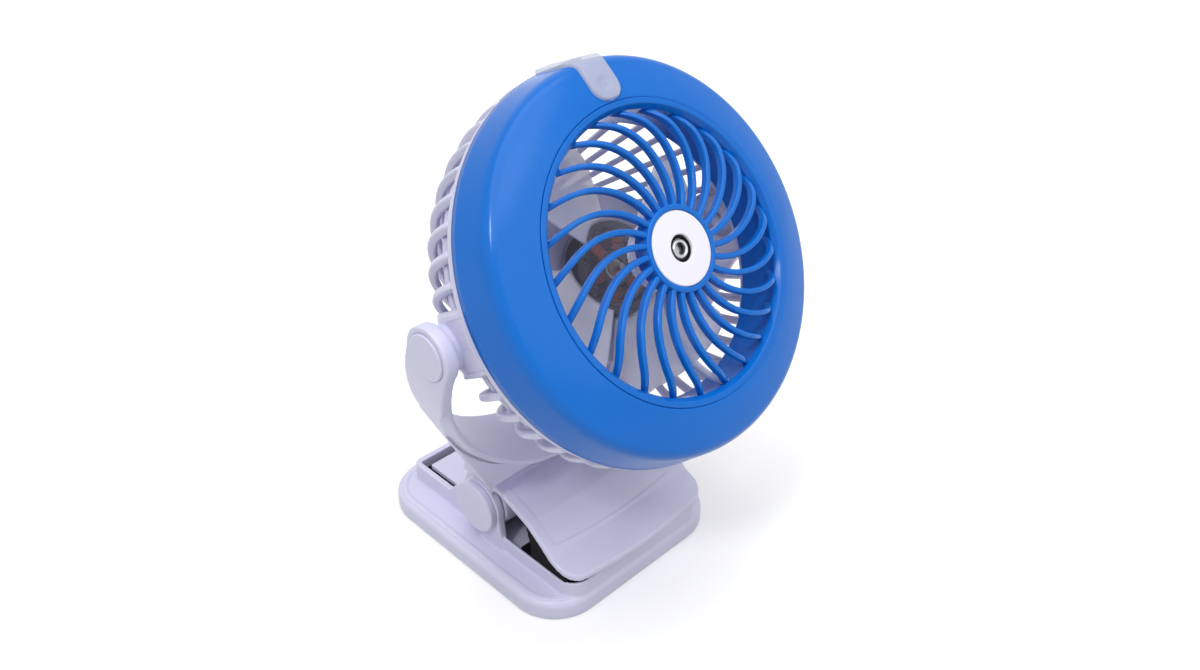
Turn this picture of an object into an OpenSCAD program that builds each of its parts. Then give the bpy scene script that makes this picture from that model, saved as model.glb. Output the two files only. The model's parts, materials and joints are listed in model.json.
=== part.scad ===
// Portable camping fan on a spring clip foot, with a water tank in its front ring for mist.
// Millimetres, +Z up, origin at the centre of the foot's underside, the fan faces -Y.

/* [Pose] */
// Upward tilt of the fan head at rest, in degrees
head_tilt = 32.7; // [20:0.1:45]
// Forward lean of the yoke, in degrees
yoke_lean = 20; // [16:0.5:23]
// Height of the head pivot above the ground
pivot_z = 156.7; // [150:0.1:165]
// Distance of the head pivot in front of the foot's centre
pivot_fwd = 40.65; // [37:0.05:44]

/* [Clip foot] */
// Width of the foot
base_w = 116.6; // [112:0.2:124]
// Length of the foot
base_l = 134.4; // [132:0.2:144]
// Corner radius of the foot in plan
base_corner = 24; // [18:1:30]
// Height of the foot's deck
deck_z = 10.5; // [9.5:0.1:12]
// Radius of the deck's top edge
deck_edge = 3.5; // [2:0.25:4.5]
// Inset of the foot's bottom edge
foot_inset = 1.2; // [0.5:0.1:2]
// Wall of the foot's skirt
base_wall = 2.6; // [2:0.1:3.2]
// Thickness of the deck
deck_t = 2.5; // [2:0.1:3]
// Thickness of the bottom cover
cover_t = 2.2; // [1.8:0.1:2.6]
// Height of the raised walls round the rear well
well_top = 20.5; // [18:0.1:22]
// Inset of the well's side from an ear's outer face
well_inset = 6.5; // [6:0.1:8]
// Wall round the well
well_wall = 3.1; // [2.4:0.1:3.4]
// Front edge of the well, measured back from the foot's centre
well_front = 15; // [13:0.5:16]
// Rear inside face of the well, measured back from the foot's centre
well_rear = 54.5; // [52:0.5:57]
// Height of the thin rim round the front pad
rim_top = 18.8; // [17:0.1:19.4]
// Thickness of the thin rim
rim_t = 1.4; // [1.2:0.1:2]
// Inset of the thin rim from an ear's outer face
rim_inset = 1.3; // [0.5:0.1:2.5]
// Gap between the rim's front face and the foot's front edge
rim_setback = 1.2; // [1:0.1:2]
// Thickness of the pad on the deck
base_pad_t = 5; // [4:0.1:6]
// Radius of a rubber foot
foot_r = 9; // [6:0.5:10]
// Thickness of a rubber foot
foot_t = 1.4; // [1:0.1:1.6]
// Distance of a rubber foot's middle from the foot's side
foot_side = 22.3; // [20:0.1:25]
// Half spacing of the rubber feet along the foot
foot_y = 46; // [42:0.5:48]
// Distance of a cover screw from the foot's side
cover_screw_side = 8.8; // [8.3:0.1:9.8]
// Half spacing of the cover screws along the foot
cover_screw_y = 26; // [20:0.5:32]

/* [Clamp hinge] */
// Height of the clamp hinge
hinge_z = 31.5; // [30.5:0.1:33]
// Distance of the clamp hinge in front of the foot's centre
hinge_fwd = 2.3; // [1:0.1:4]
// Radius of the ears
ear_r = 14; // [13:0.1:14.4]
// Inset of an ear's outer face from the foot's side
ear_inset = 12.3; // [11.3:0.1:12.9]
// Thickness of an ear
ear_t = 4.2; // [3.6:0.1:4.3]
// Gap between an ear and the jaw's barrel
ear_gap = 0.5; // [0.4:0.1:1]
// Radius of the round hinge caps
cap_r = 13.4; // [11:0.1:14]
// Thickness of the hinge caps
cap_t = 4; // [3:0.1:5]
// Radius of the hinge pin
pin_r = 2.5; // [2:0.1:3]
// Radial clearance of a running fit
run_gap = 0.06; // [0.02:0.01:0.09]
// Mean radius of the torsion spring's coil
spring_r = 5.8; // [5:0.1:6.5]
// Radius of the spring wire
wire_r = 0.8; // [0.6:0.05:0.9]
// Turns of the torsion spring
spring_turns = 14; // [8:1:16]

/* [Upper jaw] */
// Reach of the jaw's lip in front of the foot's centre
lip_fwd = 69.8; // [68.5:0.1:71]
// Corner radius of the jaw in plan
jaw_corner = 10; // [7:0.5:12]
// Bow of the jaw's front edge
lip_bow = 2.2; // [1:0.1:3]
// Thickness of the jaw's sheet
jaw_t = 3.2; // [2.8:0.1:3.6]
// Depth of the recessed panel on the jaw
panel_d = 0.6; // [0.4:0.1:0.9]
// Margin beside the recessed panel
panel_inset = 8; // [6:0.5:12]
// Outer radius of the barrel round the spring
barrel_r = 14.2; // [13.5:0.1:14.8]
// Wall of the barrel, the webs and the neck
jaw_wall = 2.8; // [2.4:0.1:3.2]
// Gap between the tail plate and the well's side
tail_gap = 3.5; // [2:0.1:7]
// Rear end of the tail plate, measured back from the foot's centre
tail_end = 49; // [46:0.5:50]
// Thickness of the tail plate
tail_t = 3; // [2.4:0.1:3.2]
// Thickness of the liner under the jaw
liner_t = 1.6; // [1.2:0.1:2]
// Half spacing of the liner's screws
jaw_screw_x = 24; // [18:0.5:30]

/* [Yoke] */
// Gap between a pivot boss and the yoke
yoke_gap = 2.1; // [1.7:0.1:3]
// Thickness of the yoke's band
yoke_t = 5; // [4.6:0.1:6]
// Distance of the yoke's centre below the pivot
yoke_drop = 3; // [2.5:0.1:4]
// Radius of the round ends of the arms
arm_r = 12.5; // [11.5:0.1:13.5]
// Front half width of the yoke at its bottom
yoke_front = 23; // [20:0.5:25]
// Front half width of the neck
neck_front = 12; // [10:0.5:14]
// Rear half width of the neck and of the yoke's bottom
neck_rear = 9; // [8:0.5:11]
// Inset from the yoke's inner radius at which the neck leaves it
neck_top_inset = 5; // [4:0.5:8]
// Drop below the pivot where the neck leaves the yoke
neck_top_drop = 46; // [44:0.5:50]
// Height at which the neck's flanks meet the jaw
neck_foot_z = 49; // [48:0.5:52]
// Radius of the caps on the yoke's ends
pivot_cap_r = 9.7; // [8:0.1:10.5]
// Height by which a pivot cap stands out of the arm
pivot_cap_t = 0.8; // [0.5:0.1:1.5]
// Radius of the pivot screw's shank
pivot_screw_r = 2; // [1.8:0.1:2.4]
// Radius of the pivot screw's head
pivot_head_r = 4.5; // [3.8:0.1:5]

/* [Tank ring] */
// Step from the cage's rim out to the ring's rear edge
ring_step = 0.4; // [0:0.1:1]
// Position of the ring's rear edge along the head's axis
ring_s0 = 20.7; // [20.6:0.1:21]
// Taper of the side wall over its length
ring_taper = 2.7; // [2.2:0.1:4]
// Axial position of the front end of the side wall
ring_side_s = 35.5; // [34:0.1:36]
// Inset of the front face's outer edge from the ring's rear edge
ring_shoulder = 7.5; // [7:0.1:9]
// Axial position where the front face starts
ring_face_s = 41.4; // [41:0.1:42]
// Inner radius of the front face
ring_in_r = 61.3; // [61.2:0.1:62]
// Axial position of the front face at its inner edge
ring_in_s = 45.4; // [44.6:0.1:46]
// Wall of the tank
tank_wall = 2.2; // [1.8:0.1:2.6]
// Thickness of the tank's back wall
tank_back_t = 2; // [1.6:0.1:2.2]
// Number of screws that join cage and tank
cage_screw_n = 4; // [4:2:6]

/* [Front grille] */
// Number of ribs
rib_n = 25; // [15:1:27]
// Angle of the first rib at the hub
rib_phase = 13.99; // [0:0.01:14.4]
// Radius at which the ribs leave the hub
rib_start_r = 16.6; // [16:0.1:17]
// Radius of each rib's curve
rib_curve_r = 33.7; // [31:0.1:36]
// Width of a rib
rib_w = 2.4; // [1.8:0.1:2.8]
// Depth of a rib
rib_d = 3.2; // [2.4:0.1:4]
// Axial position of the front of the ribs
grille_s = 50.7; // [50.4:0.1:51.2]
// Radius at which the front of the ribs starts to curve down
grille_flat_r = 40.5; // [38:0.5:42]
// Radius of that curve
grille_bend_r = 34; // [32:0.5:37]
// Inner radius of the air barrel
barrel_in = 57.2; // [56.5:0.1:57.6]
// Outer radius of the air barrel
barrel_out = 60.9; // [60.4:0.1:61]
// Axial position of the barrel sleeve's rear edge
barrel_s0 = 24; // [23.4:0.1:26]
// Axial position of the barrel's front edge
barrel_s1 = 45.6; // [45:0.1:46]
// Inner radius of the hub ring
hub_ring_in = 15.2; // [15:0.1:15.6]
// Outer radius of the hub ring
hub_ring_out = 17.4; // [17:0.1:18]
// Depth of the hub ring
hub_ring_d = 8; // [7:0.1:9]

/* [Mist nozzle] */
// Radius of the nozzle disc
disc_r = 15; // [14.5:0.1:15.1]
// Thickness of the nozzle disc
disc_t = 2.4; // [2:0.1:2.8]
// Radius of the hole in the nozzle disc
disc_hole_r = 5.5; // [5:0.1:6]
// Outer radius of the mist cup
cup_r = 14; // [13:0.1:14.4]
// Depth of the mist cup
cup_d = 14.5; // [12:0.1:15]
// Radius of the wick
wick_r = 3.5; // [2.8:0.1:3.8]
// Thickness of the piezo disc
piezo_t = 0.8; // [0.6:0.1:1]
// Outer radius of the feed tube
tube_r = 1.6; // [1.4:0.1:1.8]
// Bore radius of the feed tube
tube_bore = 1; // [0.8:0.1:1.1]
// Axial position of the feed tube
tube_s = 40.6; // [39.5:0.1:40.8]
// Rib behind which the feed tube runs
tube_rib = 16; // [0:1:24]

/* [Rear cage] */
// Radius of the cage's rim
cage_r = 83.6; // [82.6:0.1:83.8]
// Length of the cage from its rim to its flat back
cage_len = 52; // [50:0.5:54]
// Half axis of the cage's elliptic side
cage_axis = 67; // [66:0.5:70]
// Axial position of the cage's rim
cage_s0 = 18; // [17.8:0.1:18.2]
// Number of ribs
cage_rib_n = 46; // [24:1:48]
// Width of a cage rib
cage_rib_w = 3; // [2.6:0.1:4]
// Depth of a cage rib
cage_rib_d = 4; // [3.8:0.1:5]
// Distance from the axis at which the ribs pass
cage_skew = 34; // [28:0.5:36]
// Half angle of the solid side panels
panel_angle = 9; // [8:0.5:11]
// Radius of the pivot bosses
boss_r = 9.5; // [8.5:0.1:10]
// Depth of the cage's rim
cage_rim_t = 4.2; // [3.6:0.1:4.4]
// Inset of the inner hoop from the cage's side
hoop_inset = 3.6; // [3:0.1:3.7]
// Radial depth of the inner hoop
hoop_t = 3; // [2:0.1:4]
// Distance of the inner hoop's front edge from the cage's rim
hoop_gap = 7; // [5:0.5:9]
// Length of the inner hoop
hoop_l = 4; // [3:0.5:6]
// Height of a pivot boss's face over the cage's rim
boss_proud = 2.3; // [2.1:0.1:2.4]

/* [Rear pod] */
// Outer radius of the pod
pod_r = 38.5; // [37.5:0.1:39.5]
// Wall of the pod
pod_wall = 2.3; // [2:0.1:2.6]
// Front face of the pod along the axis
pod_front = -3.5; // [-4:0.1:-3]
// Rear edge of the pod's wall along the axis
pod_back = -38; // [-39:0.1:-37.5]
// Height of the cover's crown behind the pod
cover_crown = 4; // [3:0.1:5]
// Radius of the battery
battery_r = 9.2; // [8.8:0.1:9.3]
// Length of the battery
battery_l = 65; // [60:0.5:66]
// Radius of a push button
button_r = 5.5; // [5:0.1:6]
// Half spacing of the two push buttons
button_x = 11; // [9.5:0.1:12]
// Height of the push buttons above the axis
button_y = 4; // [2:0.5:5]
// Width of the circuit board
board_w = 46; // [40:0.5:50]
// Length of the circuit board
board_l = 40; // [36:0.5:44]
// Width of a push button's switch
switch_w = 6; // [5:0.1:6.5]
// Travel of a push button
button_travel = 1; // [0.6:0.1:1.2]
// Radial gap round a push button
button_gap = 0.3; // [0.25:0.05:0.5]

/* [Rotor] */
// Number of blades
blade_n = 4; // [3:1:4]
// Tip radius of the blades
blade_r = 54; // [52:0.1:55]
// Angle that one blade spans
blade_span = 66; // [58:1:70]
// Angle of the first blade's leading edge
blade_phase = 46; // [0:1:89]
// Thickness of a blade
blade_t = 1.5; // [1.2:0.1:2]
// Axial height of a blade over its chord
blade_rise = 26; // [18:0.5:27]
// Camber of a blade over its chord
blade_camber = 5; // [3:0.5:6]
// Axial position of a blade's middle
blade_mid = 8; // [7.5:0.1:9]
// Outer radius of the rotor hub
hub_r = 21.5; // [21.2:0.1:23]
// Front face of the rotor hub along the axis
hub_front = 14; // [13:0.1:15]
// Wall of the rotor hub
hub_wall = 1.5; // [1.3:0.1:1.8]
// Radius of the motor shaft
shaft_r = 1.5; // [1.2:0.05:2]
// Outer radius of the stator
stator_r = 16; // [15:0.1:16.4]
// Radial thickness of the magnet ring
magnet_t = 3; // [2.4:0.1:3.2]

/* [Filler plug] */
// Width of the plug's front tongue
tongue_w = 13.5; // [11:0.5:15]
// Width of the plug's flap
flap_w = 25; // [22:0.5:27]
// Thickness of the plug's skin
plug_t = 1.2; // [0.9:0.1:1.4]
// Axial position of the fold between tongue and flap
fold_s = 39; // [38.5:0.1:39.4]
// Axial position of the flap's rear tip
flap_tip_s = 17.4; // [16.5:0.1:18]
// Axial position of the filling hole
fill_s = 29; // [28.5:0.1:29.4]
// Radius of the filling hole
fill_r = 6.3; // [5.6:0.1:6.6]

/* [Hidden] */
$fn = 64;
eps = 0.01;
part_gap = 0.3;
// Radial clearance round a fixed insert
seat_gap = 0.15;
white = [0.80, 0.80, 0.87];
blue = [0.15, 0.45, 0.82];
black = [0.08, 0.08, 0.09];
steel = [0.72, 0.73, 0.75];
smoke = [0.80, 0.79, 0.86, 0.6];
pivot_y = -pivot_fwd;
hinge_y = -hinge_fwd;
ear_out = base_w / 2 - ear_inset;
ear_in = ear_out - ear_t;
barrel_half = ear_in - ear_gap;
jaw_half = ear_out;
panel_half = jaw_half - panel_inset;
well_half = ear_out - well_inset;
tail_half = well_half - tail_gap;
rim_half = ear_out - rim_inset;
foot_x = base_w / 2 - foot_side;
cover_screw_x = base_w / 2 - cover_screw_side;
boss_x = cage_r + boss_proud;
yoke_in = boss_x + yoke_gap;
neck_top_half = yoke_in - neck_top_inset;
ring_r = cage_r + ring_step;
ring_side_r = ring_r - ring_taper;
ring_face_r = ring_r - ring_shoulder;
cage_screw_circle = (cage_r + ring_in_r - 0.9) / 2;
pod_in = pod_r - pod_wall;
hub_cap_t = 1.2;
side_wall_dir = [ring_side_r - ring_r, ring_side_s - ring_s0];
face_dir = [ring_in_r - ring_face_r, ring_in_s - ring_face_s];

// ---- Frames and outlines ----

// Head frame: z runs forward along the fan's axis, y is the head's up
module head_frame() translate([0, pivot_y, pivot_z]) rotate([90 - head_tilt, 0, 0]) children();

// Yoke frame: z runs up along the yoke, y rearward
module yoke_frame() translate([0, pivot_y, pivot_z]) rotate([yoke_lean, 0, 0]) children();

// Hinge frame: 2D x is the part's y, 2D y is the part's z, extrusions run along the part's x
module hinge_frame() translate([0, hinge_y, hinge_z]) rotate([90, 0, 90]) children();

module along_x(w) rotate([90, 0, 90]) linear_extrude(w, center = true) children();

module both_sides() for (side = [-1, 1]) scale_x(side) children();

module scale_x(side) if (side > 0) children(); else mirror([1, 0, 0]) children();

module tube(r_out, r_in, z0, z1) translate([0, 0, z0]) difference() {
    cylinder(r = r_out, h = z1 - z0);
    translate([0, 0, -1]) cylinder(r = r_in, h = z1 - z0 + 2);
}

// A ring sector that starts on +x and turns by the given angle
module ring_sector(r_in, r_out, angle, z0, z1)
    rotate_extrude(angle = angle) translate([r_in, z0]) square([r_out - r_in, z1 - z0]);

function arc(centre, r, a0, a1, n = 8) =
    [for (i = [0:n]) let (a = a0 + (a1 - a0) * i / n) centre + r * [cos(a), sin(a)]];

function bend(p0, p1, p2, n = 6) =
    [for (i = [0:n]) let (t = i / n) (1 - t) * (1 - t) * p0 + 2 * t * (1 - t) * p1 + t * t * p2];

function unit(v) = v / norm(v);

// Crossing of the line through p along u with the line through q along v
function crossing(p, u, q, v) =
    let (d = q - p, k = (d[0] * v[1] - d[1] * v[0]) / (u[0] * v[1] - u[1] * v[0])) p + k * u;

// A plate with straight sides and round corners; every point of edge is [inset, height]
module edged_plate(w, l, r, edge) {
    rotate([90, 0, 0]) linear_extrude(l - 2 * r, center = true)
        polygon(concat([for (p = edge) [w / 2 - p[0], p[1]]],
            [for (i = [len(edge) - 1:-1:0]) [edge[i][0] - w / 2, edge[i][1]]]));
    rim = concat([for (p = edge) [r - p[0], p[1]]], [[0, edge[len(edge) - 1][1]], [0, edge[0][1]]]);
    for (side = [-1, 1]) rotate([0, 0, side > 0 ? 0 : 180]) {
        translate([0, l / 2 - r, 0]) rotate([90, 0, 90]) linear_extrude(w - 2 * r, center = true)
            polygon(rim);
        for (turn = [0, 1]) translate([(1 - 2 * turn) * (w / 2 - r), l / 2 - r, 0]) rotate([0, 0, 90 * turn])
            rotate_extrude(angle = 90) polygon(rim);
    }
}

module plate(w, l, r, z0, z1) edged_plate(w, l, r, [[0, z0], [0, z1]]);

// Pan-head screw along +z with its head below z = 0
module screw(shank_r, shank_l, head_r, head_h) {
    translate([0, 0, -head_h / 2]) cylinder(r = shank_r, h = shank_l + head_h / 2);
    translate([0, 0, -head_h]) cylinder(r = head_r, h = head_h);
}

// ---- Clip foot ----

base_edge = concat([for (p = arc([foot_inset, foot_inset], foot_inset, 270, 180, 3)) p],
    [for (p = arc([deck_edge, deck_z - deck_edge], deck_edge, 180, 90, 6)) p]);
deck_under = deck_z - deck_t;
cover_screw_r = 1.5;
post_r = 3.6;
well_out = well_half + well_wall;
fairing_y = well_front + 12;
rim_front = base_l / 2 - rim_setback;

module at_cover_screws() for (x = [-1, 1], y = [-1, 1])
    translate([x * cover_screw_x, y * cover_screw_y, 0]) children();

module at_feet() for (x = [-1, 1], y = [-1, 1]) translate([x * foot_x, y * foot_y, 0]) children();

// Outline of an ear: the round hinge end, a foot in front and a fairing down to the well wall
module ear_outline() {
    reach = [fairing_y - hinge_y, well_top - hinge_z];
    touch = atan2(reach[1], reach[0]) + acos(ear_r / norm(reach));
    translate([hinge_y, hinge_z]) circle(r = ear_r);
    polygon([[hinge_y - ear_r - 2, deck_z - 1], [hinge_y - ear_r + 0.2, hinge_z - 3],
        [hinge_y, hinge_z], [hinge_y + ear_r * cos(touch), hinge_z + ear_r * sin(touch)],
        [fairing_y, well_top], [fairing_y, deck_z - 1]]);
}

module rim_wall() {
    edge_corner = 10;
    difference() {
        intersection() {
            plate(2 * rim_half, 2 * rim_front, edge_corner, deck_under + 0.5, rim_top);
            translate([-base_w, -base_l, 0]) cube([2 * base_w, base_l - 10, 40]);
        }
        plate(2 * (rim_half - rim_t), 2 * (rim_front - rim_t), edge_corner - rim_t, deck_z, 40);
    }
}

module base_shell() color(white) difference() {
    union() {
        difference() {
            edged_plate(base_w, base_l, base_corner, base_edge);
            plate(base_w - 2 * base_wall, base_l - 2 * base_wall, base_corner - base_wall, -1, deck_under);
        }
        rim_wall();
        both_sides() translate([(ear_in + ear_out) / 2, 0, 0]) along_x(ear_out - ear_in) ear_outline();
        translate([-well_out, well_front - well_wall, cover_t])
            cube([2 * well_out, well_rear - well_front + 2 * well_wall, deck_z - cover_t]);
        translate([-well_out, fairing_y - 1, deck_z - 1])
            cube([2 * well_out, well_rear + well_wall - fairing_y + 1, well_top - deck_z + 1]);
        at_cover_screws() translate([0, 0, cover_t]) cylinder(r = post_r, h = deck_under - cover_t + eps);
    }
    translate([-well_half, well_front, -1]) cube([2 * well_half, well_rear - well_front, 50]);
    at_cover_screws() cylinder(r = cover_screw_r, h = deck_under);
    along_x(4 * ear_out) translate([hinge_y, hinge_z]) circle(r = pin_r);
}

module base_cover() color(white) difference() {
    inset = base_wall + seat_gap;
    plate(base_w - 2 * inset, base_l - 2 * inset, base_corner - inset, 0, cover_t);
    at_feet() translate([0, 0, -1]) cylinder(r = foot_r + seat_gap, h = 1 + foot_t / 2);
    at_cover_screws() {
        translate([0, 0, -1]) cylinder(r = cover_screw_r + 0.2, h = 10);
        translate([0, 0, -1]) cylinder(r = 3, h = 2.2);
    }
}

module base_screws() color(steel) at_cover_screws() translate([0, 0, 1.2])
    screw(cover_screw_r, deck_under - 2, 2.8, 1);

module rubber_feet() color(black) at_feet() cylinder(r = foot_r, h = foot_t / 2);

module base_pad() color(black) difference() {
    inset = rim_t + part_gap;
    groove_pitch = 6;
    intersection() {
        plate(2 * (rim_half - inset), 2 * (rim_front - inset), 10 - inset, deck_z, deck_z + base_pad_t);
        translate([-base_w, -base_l, 0]) cube([2 * base_w, base_l + hinge_y - ear_r - 4, 40]);
    }
    for (y = [-rim_front + 12:groove_pitch:hinge_y - ear_r - 8])
        translate([-base_w, y, deck_z + base_pad_t - 1.2]) cube([2 * base_w, 2.4, 5]);
    translate([0, -rim_front - 1, 0]) plate(60, 6, 1, -1, deck_z - eps);
}

// Dished round cap over an ear, with a blind hole for the pin's end
module hinge_cap() hinge_frame() difference() {
    rotate_extrude() polygon(concat([[0, ear_out], [cap_r, ear_out]],
        arc([cap_r - 1.4, ear_out + cap_t - 1.4], 1.4, 0, 90, 5),
        [[cap_r - 4, ear_out + cap_t], [cap_r - 4.8, ear_out + cap_t - 0.5], [0, ear_out + cap_t - 0.5]]));
    cylinder(r = pin_r, h = ear_out + cap_t / 2);
}

module hinge_cap_left() color(white) mirror([1, 0, 0]) hinge_cap();

module hinge_cap_right() color(white) hinge_cap();

module hinge_pin() color(steel) hinge_frame()
    cylinder(r = pin_r, h = 2 * ear_out + cap_t, center = true);

// ---- Upper jaw, neck and yoke: one moulding ----

// A point of the yoke's side view, as the part's [y, z]
function yoke_pt(w, u) = [pivot_y + w * cos(yoke_lean) - u * sin(yoke_lean),
    pivot_z + w * sin(yoke_lean) + u * cos(yoke_lean)];

neck_foot_u = (neck_foot_z - pivot_z) / cos(yoke_lean);
neck_joint_u = neck_foot_u + 6;
// Underside of the jaw's sheet from the lip to the throat's apex, as [y, z] from the lip
jaw_curve = [[0, 20.5], [9, 24], [17.5, 27.3], [24.5, 33.1], [33, 39.3], [41.8, 42.8], [50.6, 46.3]];
jaw_under = [for (p = jaw_curve) [p[0] - lip_fwd, p[1]]];
apex = jaw_under[6];
// The throat's roof is straight from the fifth point to the apex
roof_dir = unit(apex - jaw_under[4]);
// The same curve raised by the sheet's thickness along each point's own slope
function slope_at(i) = unit(jaw_under[min(i + 1, 6)] - jaw_under[max(i - 1, 0)]);
jaw_upper = [for (i = [0:6]) let (d = slope_at(i)) jaw_under[i] + jaw_t * [-d[1], d[0]]];
neck_a = yoke_pt(-neck_front, neck_joint_u);
neck_b = yoke_pt(neck_rear, neck_joint_u);
back_top = yoke_pt(neck_rear, neck_foot_u);
back_low = [21, well_top];
flank_z = hinge_z + ear_r + 1.5;

module jaw_plan() {
    bow_r = (pow(jaw_half - jaw_corner, 2) + pow(lip_bow, 2)) / (2 * lip_bow);
    bow_a = asin((jaw_half - jaw_corner) / bow_r);
    corner_y = -lip_fwd + lip_bow + jaw_corner;
    polygon(concat(arc([0, bow_r - lip_fwd], bow_r, 270 - bow_a, 270 + bow_a, 12),
        arc([jaw_half - jaw_corner, corner_y], jaw_corner, 285, 360, 6),
        [[jaw_half, 60], [-jaw_half, 60]],
        arc([jaw_corner - jaw_half, corner_y], jaw_corner, 180, 255, 6)));
}

module yoke_band() yoke_frame() {
    depth = yoke_front + arm_r;
    knee = -yoke_drop - sqrt(pow(yoke_in, 2) - 3600);
    bottom = -yoke_drop - yoke_in - yoke_t - 1;
    intersection() {
        translate([0, arm_r, 0]) rotate([90, 0, 0]) {
            translate([0, -yoke_drop, 0]) rotate([0, 0, 180])
                ring_sector(yoke_in, yoke_in + yoke_t, 180, 0, depth);
            for (x = [-yoke_in - yoke_t, yoke_in]) translate([x, -yoke_drop, 0])
                cube([yoke_t, arm_r + yoke_drop + 1, depth]);
        }
        along_x(3 * yoke_in) {
            circle(r = arm_r);
            polygon([[0.2 - arm_r, 0], [-neck_front, -30], [-18, knee], [-yoke_front, bottom + 12],
                [-yoke_front, bottom], [neck_rear, bottom], [neck_rear, knee], [arm_r - 0.2, -20],
                [arm_r - 0.2, 0]]);
        }
    }
    both_sides() translate([boss_x + 0.7, 0, 0]) rotate([0, 90, 0])
        cylinder(r = arm_r - 0.4, h = yoke_in + 1 - boss_x);
}

module neck_slab(inset, r, front, rear) yoke_frame() translate([0, rear, 0]) rotate([90, 0, 0])
    linear_extrude(front + rear) difference() {
        top = neck_top_half - inset;
        foot = jaw_half - inset;
        polygon([[-top, -neck_top_drop], [-foot, neck_foot_u], [-foot, neck_foot_u - 6],
            [foot, neck_foot_u - 6], [foot, neck_foot_u], [top, -neck_top_drop]]);
        translate([0, -yoke_drop]) circle(r = r);
    }

module jaw_sheet() intersection() {
    along_x(2 * jaw_half) polygon(concat(jaw_under, [[hinge_y - 6, apex[1]], [back_top[0] + 1, flank_z],
        back_top, neck_b, neck_a], [for (i = [6:-1:0]) jaw_upper[i]]));
    linear_extrude(100) jaw_plan();
}

// Closed front of the barrel, side webs, rear wall and tail plate
module jaw_rear() {
    hinge_frame() rotate([0, 0, 90])
        ring_sector(barrel_r - jaw_wall, barrel_r, 178, -barrel_half, barrel_half);
    along_x(2 * barrel_half) polygon([back_top - [0, 4], back_top, back_low, back_low - [tail_t + 1, tail_t],
        back_top - [jaw_wall + 0.4, 4]]);
    both_sides() translate([barrel_half - jaw_wall / 2, 0, 0]) along_x(jaw_wall) {
        translate([hinge_y, hinge_z]) circle(r = barrel_r - 0.4);
        polygon([[hinge_y - 6, apex[1] + 2], back_top, back_low, back_low - [4, tail_t],
            [hinge_y, hinge_z - barrel_r + 1]]);
    }
    along_x(2 * tail_half) translate([back_low[0] - 3, well_top - tail_t])
        square([tail_end - back_low[0] + 3, tail_t]);
}

module jaw_screw_spots() for (x = [-jaw_screw_x, jaw_screw_x], i = [4, 5]) {
    d = roof_dir;
    spot = (jaw_under[i] + jaw_under[i + 1]) / 2;
    translate([x, spot[0], spot[1]]) rotate([atan2(d[1], d[0]), 0, 0]) children();
}

module upper_jaw() color(white) difference() {
    union() {
        difference() {
            union() {
                yoke_band();
                neck_slab(0, yoke_in + yoke_t / 2, neck_front, neck_rear);
                jaw_sheet();
            }
            neck_slab(jaw_wall + 0.4, yoke_in + yoke_t + jaw_wall,
                neck_front - jaw_wall, neck_rear - jaw_wall);
            along_x(2 * (barrel_half - jaw_wall)) polygon([[hinge_y - 4, hinge_z],
                [hinge_y - 4, apex[1] + 8], back_top - [jaw_wall + 0.4, -2],
                back_top - [jaw_wall + 0.4, 10]]);
        }
        jaw_rear();
    }
    // recessed panel on top of the jaw
    along_x(2 * panel_half) polygon(concat([for (i = [3:6]) jaw_upper[i] + [0, 9]],
        [for (i = [6:-1:3]) jaw_upper[i] - [0, panel_d]]));
    // room for the ears
    both_sides() translate([ear_in - 0.4 + 10, 0, 0]) along_x(20) {
        translate([hinge_y, hinge_z]) circle(r = ear_r + 1);
        translate([hinge_y, hinge_z - 30]) square([60, 30 + flank_z - hinge_z]);
    }
    along_x(3 * jaw_half) translate([hinge_y, hinge_z]) circle(r = pin_r + run_gap);
    // pivot bores, screw seats and cap seats in the arms
    yoke_frame() both_sides() rotate([0, 90, 0]) {
        cylinder(r = pivot_screw_r + run_gap, h = 2 * yoke_in);
        translate([0, 0, arm_seat_x]) cylinder(r = pivot_head_r + 0.3, h = yoke_in);
        translate([0, 0, cap_seat_x]) cylinder(r = pivot_cap_r + seat_gap, h = yoke_in);
    }
    jaw_screw_spots() translate([0, 0, -1]) cylinder(r = 1.2, h = jaw_t - 0.8 + 1);
}

arm_seat_x = yoke_in + 1.2;
cap_seat_x = yoke_in + yoke_t - 1;

module jaw_liner() color(white) difference() {
    along_x(2 * panel_half) {
        drop = liner_t * [-roof_dir[1], roof_dir[0]];
        polygon([jaw_under[4], apex, apex - drop, jaw_under[4] - drop]);
    }
    jaw_screw_spots() translate([0, 0, -liner_t - 1]) cylinder(r = 1.5, h = liner_t + 2);
}

module jaw_screws() color(steel) jaw_screw_spots() translate([0, 0, -liner_t])
    screw(1.2, liner_t + jaw_t - 1, 2.6, 1.2);

module jaw_pad() color(black) {
    pad_top = deck_z + base_pad_t + part_gap;
    along_x(2 * (panel_half + 2)) polygon(concat(
        [[jaw_under[1][0] - 1, jaw_under[1][1] - 1]],
        [for (i = [1:4]) jaw_under[i] - [0, 0.1]],
        arc([jaw_under[4][0] + 22, pad_top + 4], 26, 158, 189, 6),
        [[jaw_under[1][0] - 1, pad_top]]));
}

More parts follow.
